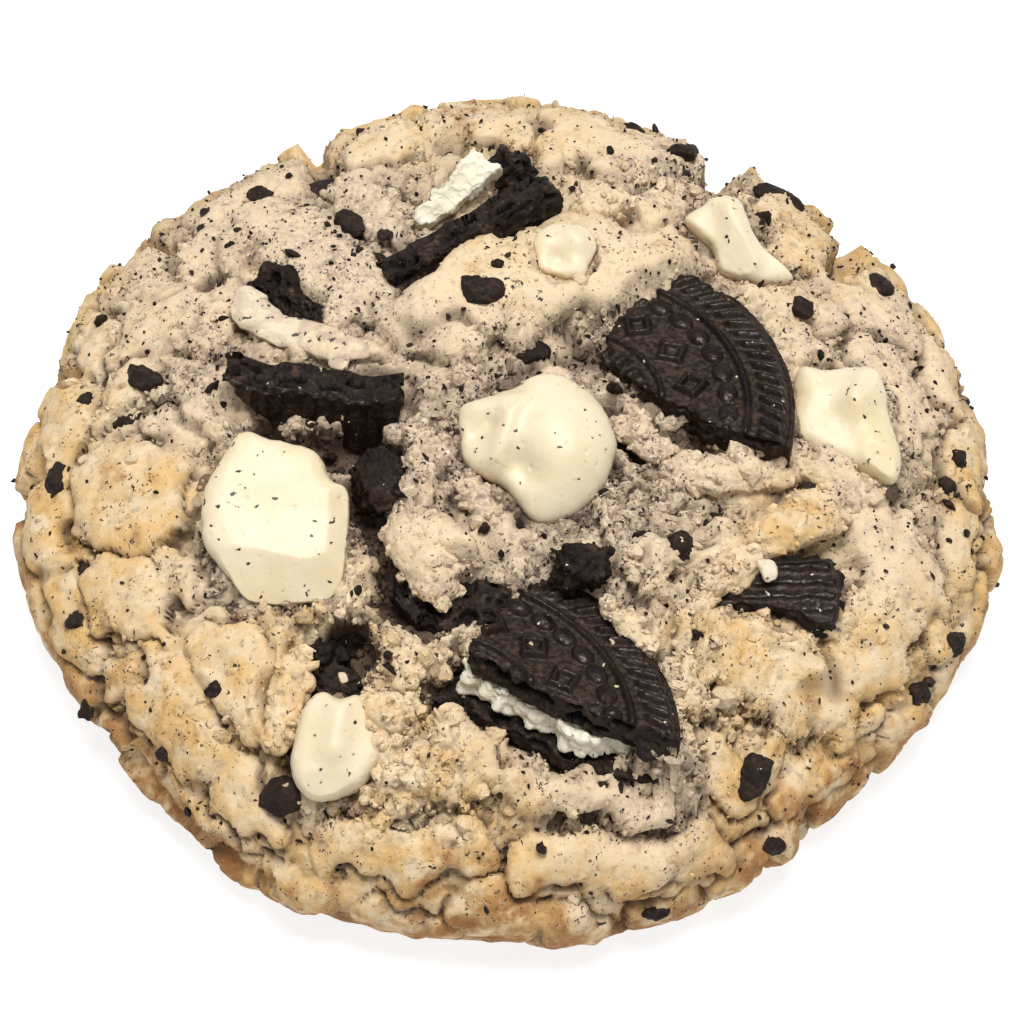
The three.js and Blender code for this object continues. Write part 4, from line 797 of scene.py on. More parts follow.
@functools.cache
def dough_surface():
    """The dough as a square grid wrapped on to the disc, with its normals and its shares."""
    side = np.linspace(-1, 1, DOUGH_CELLS + 1)
    a, b = np.meshgrid(side, side, indexing="ij")
    wide = np.abs(a) >= np.abs(b)
    reach = np.where(wide, a, b)
    ratio = np.where(wide, b, a) / np.where(reach == 0, 1, reach)
    angle = np.where(wide, ratio * np.pi / 4, np.pi / 2 - ratio * np.pi / 4)
    angle = np.where(reach < 0, angle + np.pi, angle)
    run = np.abs(reach) * foot_run()
    points, dome_normal, fullness, lead, deep, fade, apart = skin(run, angle)
    normals = unit(grid_cross(points))
    flatness = smoothstep(np.sum(normals * dome_normal, -1), 0.1, 0.65)
    edge = 1 - smoothstep(fullness, 0.15, 0.8)
    crack = 1 - smoothstep(fullness, 0.06, 0.36)
    shares = stains(points, edge, 1 - smoothstep(apart, 0.2, 2.2))
    crumbly = shares["crumbly"]
    free = (0.35 + 0.65 * smoothstep(apart, 0, 0.8)) * fade * (0.3 + 0.7 * flatness)
    groove = (1 - smoothstep(lead, 0.05, 0.75)) * smoothstep(fullness, 0.1, 0.4)
    groove = groove * smoothstep(noise(points, 5, 44), -0.45, 0.2)

    stirred = points + 0.75 * np.stack([rough(points + k, 1.5, 3 + k, 3) for k in range(3)], -1)
    near, far = cells(stirred, 2.3, 5)
    near_small, _ = cells(stirred + 9, 1.05, 6)
    bulge = in_mm("bulge") * smoothstep(fullness, 0.1, 0.4) * (1 - smoothstep(fullness, 0.55, 0.95))
    lumps = 0.4 * rough(points, 6, 7, 3) + 0.16 * rough(points, 1.7, 8, 3) * (0.4 + crumbly)
    granules = in_mm("granule_height") * (0.42 - near) * crumbly
    torn = 0.3 - np.abs(rough(stirred, 2.6, 46, 4, 0.6))
    grains = (0.25 * (0.45 - near_small) - 0.55 * torn * smoothstep(torn, -0.1, 0.3)) * crumbly
    wrinkles = -0.25 * np.maximum(0, 1 - np.abs(noise(points, 3.1, 9)) * 9) * (1 - crumbly)
    seam = smoothstep(0.13 - (far - near), 0, 0.12) * smoothstep(crumbly, 0.15, 0.6)
    holes = smoothstep(rough(points, 1.6, 45, 2) + 0.35 * crumbly, 0.75, 1.0)
    low = 1 - smoothstep(points[..., 2], 6, 15)
    relief = bulge + lumps + granules + grains + wrinkles - 0.6 * seam - 0.9 * crack - 0.75 * groove
    relief = free * (relief - 0.7 * holes * (1 - 0.8 * low) - 0.15)
    away = unit(normals + (0.4 + 1.6 * low)[..., None] * dome_normal)
    final = points + relief[..., None] * away
    final[..., 2] = np.maximum(final[..., 2], 0)
    rim = np.maximum(np.abs(a), np.abs(b)) == 1
    final[rim] = points[rim]

    # Painted shade, partly dark crumbs: edges, cracks, grooves, holes, seams and deep hollows, where
    # shade falls, are darkened towards the crevice colour.
    crease_shade_sum = edge * 0.3 + crack + 0.8 * groove + 0.8 * holes + 0.55 * seam + 0.9 * deep
    shares["crease"] = np.clip(crease_shade_sum, 0, 1)
    return final, unit(grid_cross(final)), shares, apart, fade


# ---------------------------------------------------------------- meshes


def make_mesh(name, points, face_groups, finish, replaces, shares=None, smooth=True):
    """A piece from points in millimetres and arrays of faces, riding on the cookie."""
    vertices = ((points.reshape(-1, 3) + CENTRE_SHIFT) * MM).astype(np.float32)
    faces = [np.asarray(group, np.int32) for group in face_groups]
    corners = np.concatenate([group.ravel() for group in faces])
    counts = np.concatenate([np.full(len(group), group.shape[1], np.int32) for group in faces])
    starts = np.concatenate([[0], np.cumsum(counts)[:-1]]).astype(np.int32)
    mesh = bpy.data.meshes.new(name)
    mesh.vertices.add(len(vertices))
    mesh.vertices.foreach_set("co", vertices.ravel())
    mesh.loops.add(len(corners))
    mesh.loops.foreach_set("vertex_index", corners)
    mesh.polygons.add(len(counts))
    mesh.polygons.foreach_set("loop_start", starts)
    mesh.polygons.foreach_set("use_smooth", np.full(len(counts), smooth))
    mesh.update(calc_edges=True)
    if mesh.validate():
        raise RuntimeError(f"the mesh of {name} had faulty faces")
    for label, values in (shares or {}).items():
        attribute = mesh.attributes.new(label, "FLOAT", "POINT")
        attribute.data.foreach_set("value", np.asarray(values, np.float32).ravel())
    mesh.materials.append(finish)
    piece = bpy.data.objects.new(name, mesh)
    bpy.context.scene.collection.objects.link(piece)
    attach(piece, "root")
    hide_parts(*replaces)


def grid_faces(index, wrap=False):
    """Four-cornered faces between neighbouring rows and columns of a grid of numbers."""
    if wrap:
        index = np.concatenate([index, index[:, :1]], 1)
    return np.stack([index[:-1, :-1], index[1:, :-1], index[1:, 1:], index[:-1, 1:]], -1).reshape(-1, 4)


def fan_faces(ring, hub):
    """Triangles from a closed ring of vertices to one more vertex."""
    return np.stack([ring, np.roll(ring, -1), np.full(len(ring), hub)], -1)


def ring_piece(rings):
    """Points and faces of a closed shell: rings of equal count, closed at both ends by the
    mean of the end ring. The faces look outward whichever way the rings run: they are turned
    over if the shell's volume, summed as the triple products of its triangles, is negative."""
    rows, count = rings.shape[:2]
    total = rows * count
    points = np.concatenate([rings.reshape(-1, 3), rings[:1].mean(1), rings[-1:].mean(1)])
    index = np.arange(total).reshape(rows, count)
    quads = grid_faces(index, wrap=True)
    fans = np.concatenate([fan_faces(index[0], total), fan_faces(index[-1], total + 1)[:, ::-1]])
    thirds = np.concatenate([quads[:, :3], quads[:, [0, 2, 3]], fans])
    if np.sum(points[thirds[:, 0]] * np.cross(points[thirds[:, 1]], points[thirds[:, 2]])) < 0:
        quads, fans = quads[:, [0, 3, 2, 1]], fans[:, ::-1]
    return points, [quads, fans]


def ring_normals(rings):
    """Unit normals of closed rings, from one to the next times around. They point outward
    where the rings run anticlockwise seen from the first end."""
    wrapped = np.concatenate([rings[:, -1:], rings, rings[:, :1]], 1)
    return unit(np.cross(np.gradient(rings, axis=0), wrapped[:, 2:] - wrapped[:, :-2]))


def joined(shells):
    """Several shells, each of points and a like list of face arrays, as one."""
    starts = np.cumsum([0] + [len(points) for points, _ in shells])
    groups = [np.concatenate([group + start for group, start in zip(like, starts)])
              for like in zip(*(faces for _, faces in shells))]
    return np.concatenate([points for points, _ in shells]), groups


def on_shell(**grids):
    """Shares of a shell's rings, with nothing at the two points that close it."""
    return {label: np.concatenate([grid.ravel(), [0, 0]]) for label, grid in grids.items()}


def make_dough(finish):
    """The dough's skin on its grid, closed below by rings that shrink to the base's middle."""
    final, _, shares, _, _ = dough_surface()
    n = DOUGH_CELLS + 1
    index = np.arange(n * n).reshape(n, n)
    border = np.concatenate([index[0, :-1], index[:-1, -1], index[-1, :0:-1], index[:0:-1, 0]])
    rim = final.reshape(-1, 3)[border]
    rings = [rim * np.array([scale, scale, 0]) for scale in UNDERSIDE_RINGS]
    points = np.concatenate([final.reshape(-1, 3), *rings, [[0, 0, 0]]])
    below = n * n + np.arange(len(rings) * len(border)).reshape(len(rings), -1)
    rows = np.concatenate([border[None], below])
    faces = [grid_faces(index), grid_faces(rows, wrap=True)[:, ::-1],
             fan_faces(rows[-1], len(points) - 1)[:, ::-1]]
    base = {"golden": 0.8, "toasted": 0.75, "peppered": 0.3}
    full = {label: np.concatenate([values.ravel(), np.full(below.size + 1, base.get(label, 0))])
            for label, values in shares.items()}
    make_mesh("dough_crust", points, faces, finish, ["dough"], full)


def swept(spines, flatness, size, beaded=0.35):
    """Lumps along spines, in one shell each: ellipses `flatness` as high as wide, tapered to
    the ends as (1 - t^4)^0.5, pushed out of true and roughened with cells of `size`, each
    of which bulges by `beaded` of its size."""
    shells = []
    for seed, spine in enumerate(spines):
        spine = np.array(spine, float)
        knots = np.linspace(0, 1, len(spine))
        t = np.linspace(-1, 1, SWEPT_RINGS + 2)[1:-1]
        along = 0.5 + 0.5 * np.sign(t) * np.abs(t) ** 0.7
        x, y, z, half = (np.interp(along, knots, column) for column in spine.T)
        half = half * np.sqrt(1 - t**4)
        side = unit(np.stack([-np.gradient(y), np.gradient(x), 0 * x], -1))
        turn = np.linspace(0, TURN, SWEPT_POINTS, endpoint=False)[None, :, None]
        centre = np.stack([x, y, z], -1)[:, None]
        rings = centre + half[:, None, None] * (np.cos(turn) * side[:, None]
                                                + flatness * np.sin(turn) * np.array([0, 0, 1]))
        push = np.stack([rough(rings + 5 * k + seed, 3.2 * size, 80 + k, 3) for k in range(3)], -1)
        rings = rings + 0.4 * size * push * np.array([1, 1, flatness])
        near, _ = cells(rings + 0.35 * rough(rings, 1.3, 83, 2)[..., None], size, 84)
        relief = beaded * size * (0.45 - near) + 0.16 * size * rough(rings, 0.7 * size, 85, 3)
        relief = relief * np.clip(half / 2, 0.2, 1)[:, None]
        shells.append(ring_piece(rings - relief[..., None] * ring_normals(rings)))
    return joined(shells)


def make_laps(finish):
    """Flaps and lumps of dough over their neighbours, with crumbs stuck to them."""
    points, faces = swept(LAPS, 0.7, 1.5)
    make_mesh("dough_laps", points, faces, finish, ["dough"], stains(points, 0.1, 0.2))
    dice = np.random.default_rng(STUCK_SEED)
    places = points[dice.choice(len(points), STUCK_CRUMBS)]
    radii = 0.2 + 0.6 * dice.random(len(places)) ** 2
    points, faces = pebbles(places, radii, dice, 1, 0.15)
    make_mesh("lap_crumbs", points, [faces], finish, ["dough"], stains(points, 0.3, 0.3),
              smooth=False)


# ---------------------------------------------------------------- chips


def closed_curve(corners, count):
    """A smooth closed curve through corners (Catmull-Rom), in equal steps of its parameter."""
    corners = np.array(corners, float)
    t = np.linspace(0, len(corners), count, endpoint=False)
    k = t.astype(int)
    f = (t - k)[:, None]
    p0, p1, p2, p3 = (corners[(k + shift) % len(corners)] for shift in (-1, 0, 1, 2))
    return 0.5 * (2 * p1 + (p2 - p0) * f + (2 * p0 - 5 * p1 + 4 * p2 - p3) * f**2
                  + (3 * p1 - p0 - 3 * p2 + p3) * f**3)


def equal_steps(points, count):
    """A closed line of points walked in equal steps of its length."""
    closed = np.concatenate([points, points[:1]])
    length = np.concatenate([[0], np.cumsum(np.linalg.norm(np.diff(closed, axis=0), axis=1))])
    walk = np.linspace(0, length[-1], count, endpoint=False)
    return np.stack([np.interp(walk, length, closed[:, axis]) for axis in (0, 1)], -1)


def make_chip(name, spec, seed, finish):
    """A chip: rings from its crown's middle to the rim and back under the belly. The crown
    rises as (1 - s^9)^0.5 of the share s of the way out, or with a lower power where the rim
    has melted, with ridges as bell curves, cut by soft flat facets."""
    rim = equal_steps(closed_curve(spec["outline"], 400), CHIP_POINTS)[::-1]
    middle = rim.mean(0)
    nick = 0.22 * rough(np.concatenate([rim, 0 * rim[:, :1] + seed], 1), 2.4, seed + 3, 3)
    rim = rim + nick[:, None] * unit(rim - middle)
    out = np.linspace(0, 1, CHIP_RINGS) ** 0.6
    share = np.concatenate([out[1:], out[-2:0:-2]])
    top = np.arange(len(share)) < len(out) - 1
    flat = middle + share[:, None, None] * (rim - middle)
    x, y = flat[..., 0], flat[..., 1]
    s = share[:, None]
    crown = spec["crown"] * (1 - s ** spec.get("rim", 9)) ** 0.5
    for ax, ay, bx, by, width, height in spec["ridges"]:
        d, _ = spine_distance(x, y, np.array([(ax, ay, width), (bx, by, width)]))
        crown = crown + (1 - s**6) * height * np.exp(-d * d)
    for compass, slope, height in spec["facets"]:
        across = (x - middle[0]) * np.cos(compass * DEG) + (y - middle[1]) * np.sin(compass * DEG)
        crown = soft_min(crown, height - np.tan(slope * DEG) * across, 0.12)
    belly = -spec["belly"] * np.sqrt(1 - s**2) + 0 * x
    rings = np.stack([x, y, np.where(top[:, None], crown, belly)], -1)
    wave = 0.1 * rough(rings + 40 * seed, 4.5, seed, 2) + 0.025 * rough(rings, 0.9, seed + 5, 2)
    dent, _ = cells(rings, 2.3, seed + 9)
    wave = wave - 0.08 * smoothstep(0.16 - dent, 0, 0.1)
    points, faces = ring_piece(placed(rings + wave[..., None] * ring_normals(rings), spec))
    make_mesh(name + "_white", points, faces, finish, [name])


# ---------------------------------------------------------------- biscuit


def embossed(x, y, centre):
    """Height of the pressed pattern over the face, in the whole biscuit's round coordinates:
    slanted reeding round the rim, a raised ring, a row of beads, a band of lozenges, a second
    ring, short spokes and a third ring, all with rounded tops."""
    dx, dy = x - centre[0], y - centre[1]
    ring = np.hypot(dx, dy)
    turns = np.arctan2(dy, dx) / TURN
    high = in_mm("emboss_height")

    def band(low, top, soft):
        """1 between two distances from the middle, with sides `soft` wide."""
        return smoothstep(ring, low, low + soft) * (1 - smoothstep(ring, top - soft, top))

    def repeated(count):
        """0 in the middle of each of `count` equal parts of the turn, 1 between two."""
        return np.abs((turns * count) % 1 - 0.5) * 2

    reeds = round(TURN * REED_RADIUS / in_mm("reed_pitch"))
    slant = turns * TURN * reeds + REED_SLANT * (ring - REED_RADIUS)
    height = high * band(*REED_BAND) * (0.5 + 0.5 * np.cos(slant)) ** 0.7
    bead = 1 - repeated(BEADS) ** 2 - (ring - BEAD_RADIUS) ** 2
    height += high * np.sqrt(np.maximum(0, bead))
    lozenge = 1 - repeated(LOZENGES) * 1.15 - np.abs(ring - LOZENGE_RADIUS) / LOZENGE_HALF
    height += high * 1.1 * (smoothstep(lozenge, 0, 0.35) - 0.9 * smoothstep(lozenge, 0.4, 0.75))
    height += high * band(*SPOKE_BAND) * (0.5 + 0.5 * np.cos(turns * TURN * SPOKES))
    for edges in RAISED_RINGS:
        height += high * 0.8 * band(*edges)
    return height


def make_slab(name, spec, seed, finish):
    """A broken slab: rings from the face's middle out to the edge, down the broken side and
    back under it. The face carries its pattern, and the broken side is torn and porous."""
    kind, thick = spec["kind"], spec["thickness"]
    fine, cream = kind == "face", kind == "cream"
    count, tops, sides, bottoms = FINE_SLAB if fine else PLAIN_SLAB
    edge = equal_steps(np.array(spec["outline"], float), count)
    middle = np.array(spec.get("middle", edge.mean(0)))
    torn = np.ones(count)
    if fine:
        torn = smoothstep(BISCUIT_RADIUS - np.hypot(*(edge - np.array(spec["centre"])).T), 0.05, 0.6)
    flat_edge = np.concatenate([edge, np.zeros((count, 1))], 1)
    ragged = (0.4 if spec.get("grain") else 0.75) * rough(flat_edge + 30 * seed, 2.4, seed, 4) * torn
    edge = edge + (ragged - 0.1 * torn)[:, None] * unit(edge - middle)

    share = np.concatenate([np.linspace(0, 0.985, tops)[1:], np.full(sides, 1.0),
                            np.linspace(0.985, 0, bottoms)[:-1]])[:, None]
    depth = np.concatenate([np.zeros(tops - 1), np.linspace(0.06, 0.94, sides) * thick,
                            np.full(bottoms - 1, thick)])[:, None]
    on_top, on_side = depth == 0, share == 1
    flat = middle + share[..., None] * (edge - middle)
    x, y = flat[..., 0], flat[..., 1]
    z = -spec["start"] - depth - 0.22 * smoothstep(share, 0.955, 0.99) * on_top
    rings = np.stack([x, y, z + 0 * x], -1)
    pits = smoothstep(0.34 - cells(rings, 0.95, seed + 3)[0], 0, 0.22)
    caves = smoothstep(0.44 - cells(rings * np.array([0.55, 0.55, 1.1]), 1.5, seed + 4)[0], 0, 0.12)
    grit = rough(rings + 20 * seed, 1.1, seed + 1, 3)
    face = dust = np.zeros(x.shape)
    if fine:
        pattern = embossed(x, y, spec["centre"])
        worn = 0.75 + 0.35 * noise(rings, 5, seed + 6)
        inwards = BISCUIT_RADIUS - np.hypot(x - spec["centre"][0], y - spec["centre"][1])
        round_off = smoothstep(inwards, 0, 0.9)
        face = pattern * worn * round_off - 0.35 * (1 - round_off) + 0.05 * grit
        dust = on_top * (1 - smoothstep(pattern, 0, 0.3)) * 0.5
    elif kind == "reeded":
        across = x * np.cos(spec["grain"] * DEG) + y * np.sin(spec["grain"] * DEG)
        across = across + 0.35 * rough(rings, 3, seed + 7, 2)
        reeds = 0.5 + 0.5 * np.cos(across * TURN / in_mm("reed_pitch"))
        face = 0.28 * reeds * smoothstep(0.95 - share, 0, 0.1) + 0.12 * grit
        dust = on_top * (1 - reeds) * 0.4
    elif kind == "broken":
        face = 0.35 * grit - 0.4 * pits - 0.9 * caves
    if cream:
        near, far = cells(rings + 0.3 * rough(rings, 1, seed, 2)[..., None], 1.7, seed + 2)
        relief = 0.75 * (0.5 - near) + 0.14 * grit - 0.12 * smoothstep(0.1 - (far - near), 0, 0.1)
        relief = relief * spec["beads"]
    else:
        broken = (0.3 * grit - 0.35 * pits - 1.2 * caves) * (0.45 if spec.get("grain") else 1)
        relief = on_top * face + on_side * (torn * broken + (1 - torn) * 0.12 * grit)
    rings = rings + relief[..., None] * ring_normals(rings)
    pressed = on_top & (kind in ("face", "reeded"))
    # Painted shade: pores, pits and caves of broken faces are painted near black.
    pore = np.where(pressed, 0, np.maximum(0.6 * pits, caves))
    gloss = np.where(pressed, 1 - 0.7 * dust, 0.15)
    # Painted highlight: on broken faces the raised grit gets the lighter dust colour; on pressed faces it
    # is dust in the pattern's low parts.
    dust = np.where(pressed, dust, 0.9 * smoothstep(grit, 0.0, 0.6) * (1 - pore))
    points, faces = ring_piece(placed(rings, spec))
    make_mesh(name + ("_soft" if cream else "_crisp"), points, faces, finish,
              [name], on_shell(dust=dust, gloss=gloss, pore=pore))


def lump_rings(rows, count):
    """Rings of a unit ball from its top to its bottom: latitude and longitude circles."""
    pole = np.linspace(0, np.pi, rows + 2)[1:-1, None]
    turn = -np.linspace(0, TURN, count, endpoint=False)[None, :]
    return np.stack([np.sin(pole) * np.cos(turn), np.sin(pole) * np.sin(turn),
                     np.cos(pole) + 0 * turn], -1)


def make_chunk(name, spec, seed, finish):
    """A rough ball of biscuit: its radius swells and shrinks with noise, and pits go in."""
    ball = lump_rings(CHUNK_RINGS, CHUNK_POINTS)
    coarse = rough(ball + 9 * seed, 0.9, seed, 3)
    cut = chipped(ball.reshape(-1, 3), 1, np.random.default_rng(seed), 12).reshape(ball.shape[:2])
    body = ball * (cut * 1.12 * (1 + 0.15 * coarse))[..., None] * np.array(spec["half"])
    pits = smoothstep(0.34 - cells(body, 0.9, seed)[0], 0, 0.2)
    relief = 0.3 * rough(body, 0.8, seed + 2, 3, 0.65) - 0.5 * pits
    body = body + relief[..., None] * ring_normals(body)
    points, faces = ring_piece(body @ spin(spec["turn"] * DEG) + np.array(spec["at"]))
    # Painted shade: the pits are painted near black. The dust share is lighter where the lump swells out.
    shares = on_shell(dust=0.7 * smoothstep(coarse, 0.1, 0.6), pore=pits)
    make_mesh(name + "_crisp", points, faces, finish, [name], shares)


# ---------------------------------------------------------------- crumbs


@functools.cache
def pebble_shape(detail):
    """Corners and triangles of an icosahedron, each triangle cut in four `detail` times."""
    golden = (1 + 5**0.5) / 2
    base = [(0, s, t * golden) for s in (-1, 1) for t in (-1, 1)]
    corners = np.array([np.roll(p, k) for k in range(3) for p in base], float)
    corners /= np.linalg.norm(corners[0])
    reach = np.linalg.norm(corners[:, None] - corners[None], axis=-1)
    close = reach < reach[reach > 1e-6].min() * 1.01
    faces = [(i, j, k) for i in range(12) for j in range(i + 1, 12) for k in range(j + 1, 12)
             if close[i, j] and close[j, k] and close[i, k]]
    faces = np.array([f if np.linalg.det(corners[list(f)]) > 0 else f[::-1] for f in faces])
    for _ in range(detail):
        edges = np.sort(faces[:, [0, 1, 1, 2, 2, 0]].reshape(-1, 2), 1)
        pairs, where = np.unique(edges, axis=0, return_inverse=True)
        a, b, c = faces.T
        ab, bc, ca = (len(corners) + where.reshape(-1, 3)).T
        corners = np.concatenate([corners, unit(corners[pairs].mean(1))])
        faces = np.concatenate([np.stack(f, -1) for f in
                                ((a, ab, ca), (ab, b, bc), (ca, bc, c), (ab, bc, ca))])
    return corners, faces


def turned(count, dice):
    """Random turns: unit quaternions as matrices."""
    w, x, y, z = unit(dice.normal(size=(count, 4))).T
    return np.stack([
        np.stack([1 - 2 * (y * y + z * z), 2 * (x * y - z * w), 2 * (x * z + y * w)], -1),
        np.stack([2 * (x * y + z * w), 1 - 2 * (x * x + z * z), 2 * (y * z - x * w)], -1),
        np.stack([2 * (x * z - y * w), 2 * (y * z + x * w), 1 - 2 * (x * x + y * y)], -1),
    ], 1)


def chipped(directions, count, dice, planes=9):
    """How far `count` angular lumps reach in given directions: to the nearest of some
    random planes, each 0.7 to 1 away from the middle."""
    facing = unit(dice.normal(size=(count, planes, 3)))
    away = 0.7 + 0.3 * dice.random((count, 1, planes))
    slant = np.einsum("vc,nkc->nvk", directions, facing)
    return np.minimum(np.min(away / np.maximum(slant, 0.1), -1), 1.2)


def pebbles(places, radii, dice, detail, uneven, stretch=0.35):
    """Many small lumps at once: one pebble shape, cut flat on some sides, each corner pushed
    in or out, stretched along its own axes, turned at random and set at its place."""
    corners, faces = pebble_shape(detail)
    count = len(places)
    push = 1 + uneven * (2 * dice.random((count, len(corners), 1)) - 1)
    push = push * chipped(corners, count, dice)[..., None]
    shape = np.exp(stretch * np.clip(dice.normal(size=(count, 1, 3)), -1.3, 1.3))
    body = corners[None] * push * shape * radii[:, None, None]
    body = np.einsum("nij,nkj->nki", turned(count, dice), body) + places[:, None, :]
    index = faces[None] + (np.arange(count) * len(corners))[:, None, None]
    return body.reshape(-1, 3), index.reshape(-1, 3)


def sites(count, weight, dice):
    """Random places on the dough's skin, drawn by weight, with their normals and shares."""
    final, normals, shares, apart, fade = dough_surface()
    open_skin = (apart > 0.15) & (fade > 0.6)
    odds = (weight * open_skin * np.linalg.norm(grid_cross(final), axis=-1)).ravel()
    picked = dice.choice(odds.size, count, p=odds / odds.sum())
    jitter = 0.1 * np.clip(dice.normal(size=(count, 3)), -1.5, 1.5)
    places = final.reshape(-1, 3)[picked] + jitter
    return places, normals.reshape(-1, 3)[picked], {k: s.ravel()[picked] for k, s in shares.items()}


def scatter(name, weight, finish):
    """Loose lumps over the dough, drawn as LOOSE says. Their radii are spread as a power
    between the two bounds."""
    seed, small, large, uneven, detail, sink, stretch = LOOSE[name]
    count = getattr(bpy.context.scene.cookie_sizes, name)
    dice = np.random.default_rng(seed)
    places, normals, shares = sites(count, weight, dice)
    radii = small + (large - small) * dice.random(count) ** 2.5
    places = places + normals * (radii * (0.5 - sink))[:, None]
    places[:, 2] = np.maximum(places[:, 2], radii * 1.6)
    points, faces = pebbles(places, radii, dice, detail, uneven, stretch)
    points[:, 2] = np.maximum(points[:, 2], TABLE_GAP)
    each = len(pebble_shape(detail)[0])
    full = {label: np.repeat(values, each) for label, values in shares.items()}
    full["dust"] = np.repeat(0.5 * dice.random(count), each)
    make_mesh(name, points, [faces], finish, ["dough"], full, smooth=False)


def make_smears(finish):
    """The white filling that has melted over the dough and set in drops."""
    points, faces = swept(SMEARS, 0.42, 1.3, 0.12)
    make_mesh("cream_smears", points, faces, finish, ["dough"],
              {"thin": 0.55 + 0.35 * smoothstep(points[:, 0], -22, -18) - 0.7 * (points[:, 0] > 0)})


def make_dark_crumbs(finish):
    """The dark crumbs that show from a step away, each a rough lump sunk in the dough."""
    corners, faces = pebble_shape(3)
    dice = np.random.default_rng(CRUMB_SEED)
    shells = []
    for number, (x, y, length, breadth, turn) in enumerate(CRUMBS):
        tall = 0.7 * min(length, breadth)
        half = np.array([length / 2, breadth / 2, tall / 2])
        body = corners * chipped(corners, 1, dice, 7)[0][:, None] * half * 1.2
        body = body + 0.17 * rough(body + 3.3 * number, 0.7, number, 3, 0.7)[:, None] * corners
        body[:, 2] += tall * (0.5 - CRUMB_SINK)
        shells.append((stood(body, x, y, turn), [faces]))
    points, faces = joined(shells)
    points[:, 2] = np.maximum(points[:, 2], TABLE_GAP)
    dust = 0.1 + 0.3 * (noise(points, 1.2, 77) > 0.15)
    make_mesh("dark_crumbs", points, faces, finish, ["dough"], {"dust": dust})


def stood(body, x, y, turn):
    """A crumb stood on the skin over a point seen from above, turned about its normal."""
    run = float(np.hypot(*unroll(np.array([x, y]))))
    angle = np.arctan2(y, x)
    _, _, out, up = profile_at(run)
    normal = np.array([out * np.cos(angle), out * np.sin(angle), up])
    level = np.array([-np.sin(angle), np.cos(angle), 0])
    axes = np.stack([np.cross(level, normal), level, normal])
    final = dough_surface()[0].reshape(-1, 3)
    final = final[final[:, 2] > STAND_HEIGHT]
    foot = final[np.argmin((final[:, 0] - x) ** 2 + (final[:, 1] - y) ** 2)]
    return body @ spin(turn * DEG - angle) @ axes + foot


# ---------------------------------------------------------------- shader expressions


class Wire:
    """A shader socket that takes part in arithmetic: every operator adds its Math node."""

    def __init__(self, finish, socket):
        self.finish = finish
        self.socket = socket

    def __add__(self, other):
        return self.finish.math("ADD", self, other)

    __radd__ = __add__

    def __sub__(self, other):
        return self.finish.math("SUBTRACT", self, other)

    def __rsub__(self, other):
        return self.finish.math("SUBTRACT", other, self)

    def __mul__(self, other):
        return self.finish.math("MULTIPLY", self, other)

    __rmul__ = __mul__


class Finish:
    """A material in the making. Its colours are named as in the scene's settings."""

    def __init__(self, name):
        self.colours = bpy.context.scene.cookie_colours
        self.material = bpy.data.materials.new(name + "_finish")
        self.material.use_nodes = True
        self.tree = self.material.node_tree
        self.tree.nodes.clear()
        self.place = self.output("ShaderNodeTexCoord", "Object")

    def node(self, kind, settings, sockets):
        """Adds a node: its settings come first, then its sockets get values, colours or links."""
        node = self.tree.nodes.new(kind)
        for key, value in settings.items():
            setattr(node, key, value)
        for key, value in sockets.items():
            if isinstance(value, Wire):
                self.tree.links.new(value.socket, node.inputs[key])
            elif isinstance(value, str):
                node.inputs[key].default_value = (*getattr(self.colours, value), 1.0)
            else:
                node.inputs[key].default_value = value
        return node

    def output(self, kind, name, settings=None, sockets=None):
        """One output of a new node, ready for arithmetic."""
        return Wire(self, self.node(kind, settings or {}, sockets or {}).outputs[name])

    def math(self, operation, a, b):
        return self.output("ShaderNodeMath", 0, {"operation": operation}, {0: a, 1: b})

    def share(self, name):
        """A number that the mesh carries at each of its points."""
        return self.output("ShaderNodeAttribute", "Fac", {"attribute_name": name})

    def step(self, value, low, high):
        """0 below low, 1 above high, with a smooth climb between."""
        return self.output("ShaderNodeMapRange", "Result", {"interpolation_type": "SMOOTHSTEP"},
                           {"Value": value, "From Min": low, "From Max": high})

    def noise(self, size, detail=2.0, place=None, rough_share=0.5):
        """Noise from 0 to 1 whose features are about `size` metres wide."""
        sockets = {"Vector": place or self.place, "Scale": 1 / size, "Detail": detail,
                   "Roughness": rough_share}
        return self.output("ShaderNodeTexNoise", "Fac", {"noise_dimensions": "3D"}, sockets)

    def stirred(self, size, amount):
        """The coordinates pushed about by coloured noise, so that round shapes turn ragged,
        and the noise's own three channels."""
        colour = self.output("ShaderNodeTexNoise", "Color", {},
                             {"Vector": self.place, "Scale": 1 / size, "Detail": 1.0})
        shift = self.output("ShaderNodeVectorMath", 0, {"operation": "MULTIPLY_ADD"},
                            {0: colour, 1: (amount,) * 3, 2: self.place})
        split = self.node("ShaderNodeSeparateColor", {}, {"Color": colour})
        return shift, *(Wire(self, output) for output in split.outputs)

    def coats(self, base, *coats):
        """A colour under coats of others, each as (how much of it from 0 to 1, the colour)."""
        for factor, colour in coats:
            base = self.output("ShaderNodeMix", 2, {"data_type": "RGBA"}, {0: factor, 6: base, 7: colour})
        return base

    def bump(self, height, depth, strength=1.0):
        """A normal from a height from 0 to 1 that stands for `depth` metres."""
        return self.output("ShaderNodeBump", 0, {},
                           {"Height": height, "Distance": depth, "Strength": strength})

    def shine(self, **sockets):
        """The shader itself. Underscores in a socket's name stand for spaces."""
        named = {key.replace("_", " "): value for key, value in sockets.items()}
        shader = self.output("ShaderNodeBsdfPrincipled", 0, {}, named)
        self.node("ShaderNodeOutputMaterial", {}, {"Surface": shader})
        return self.material


# ---------------------------------------------------------------- finishes


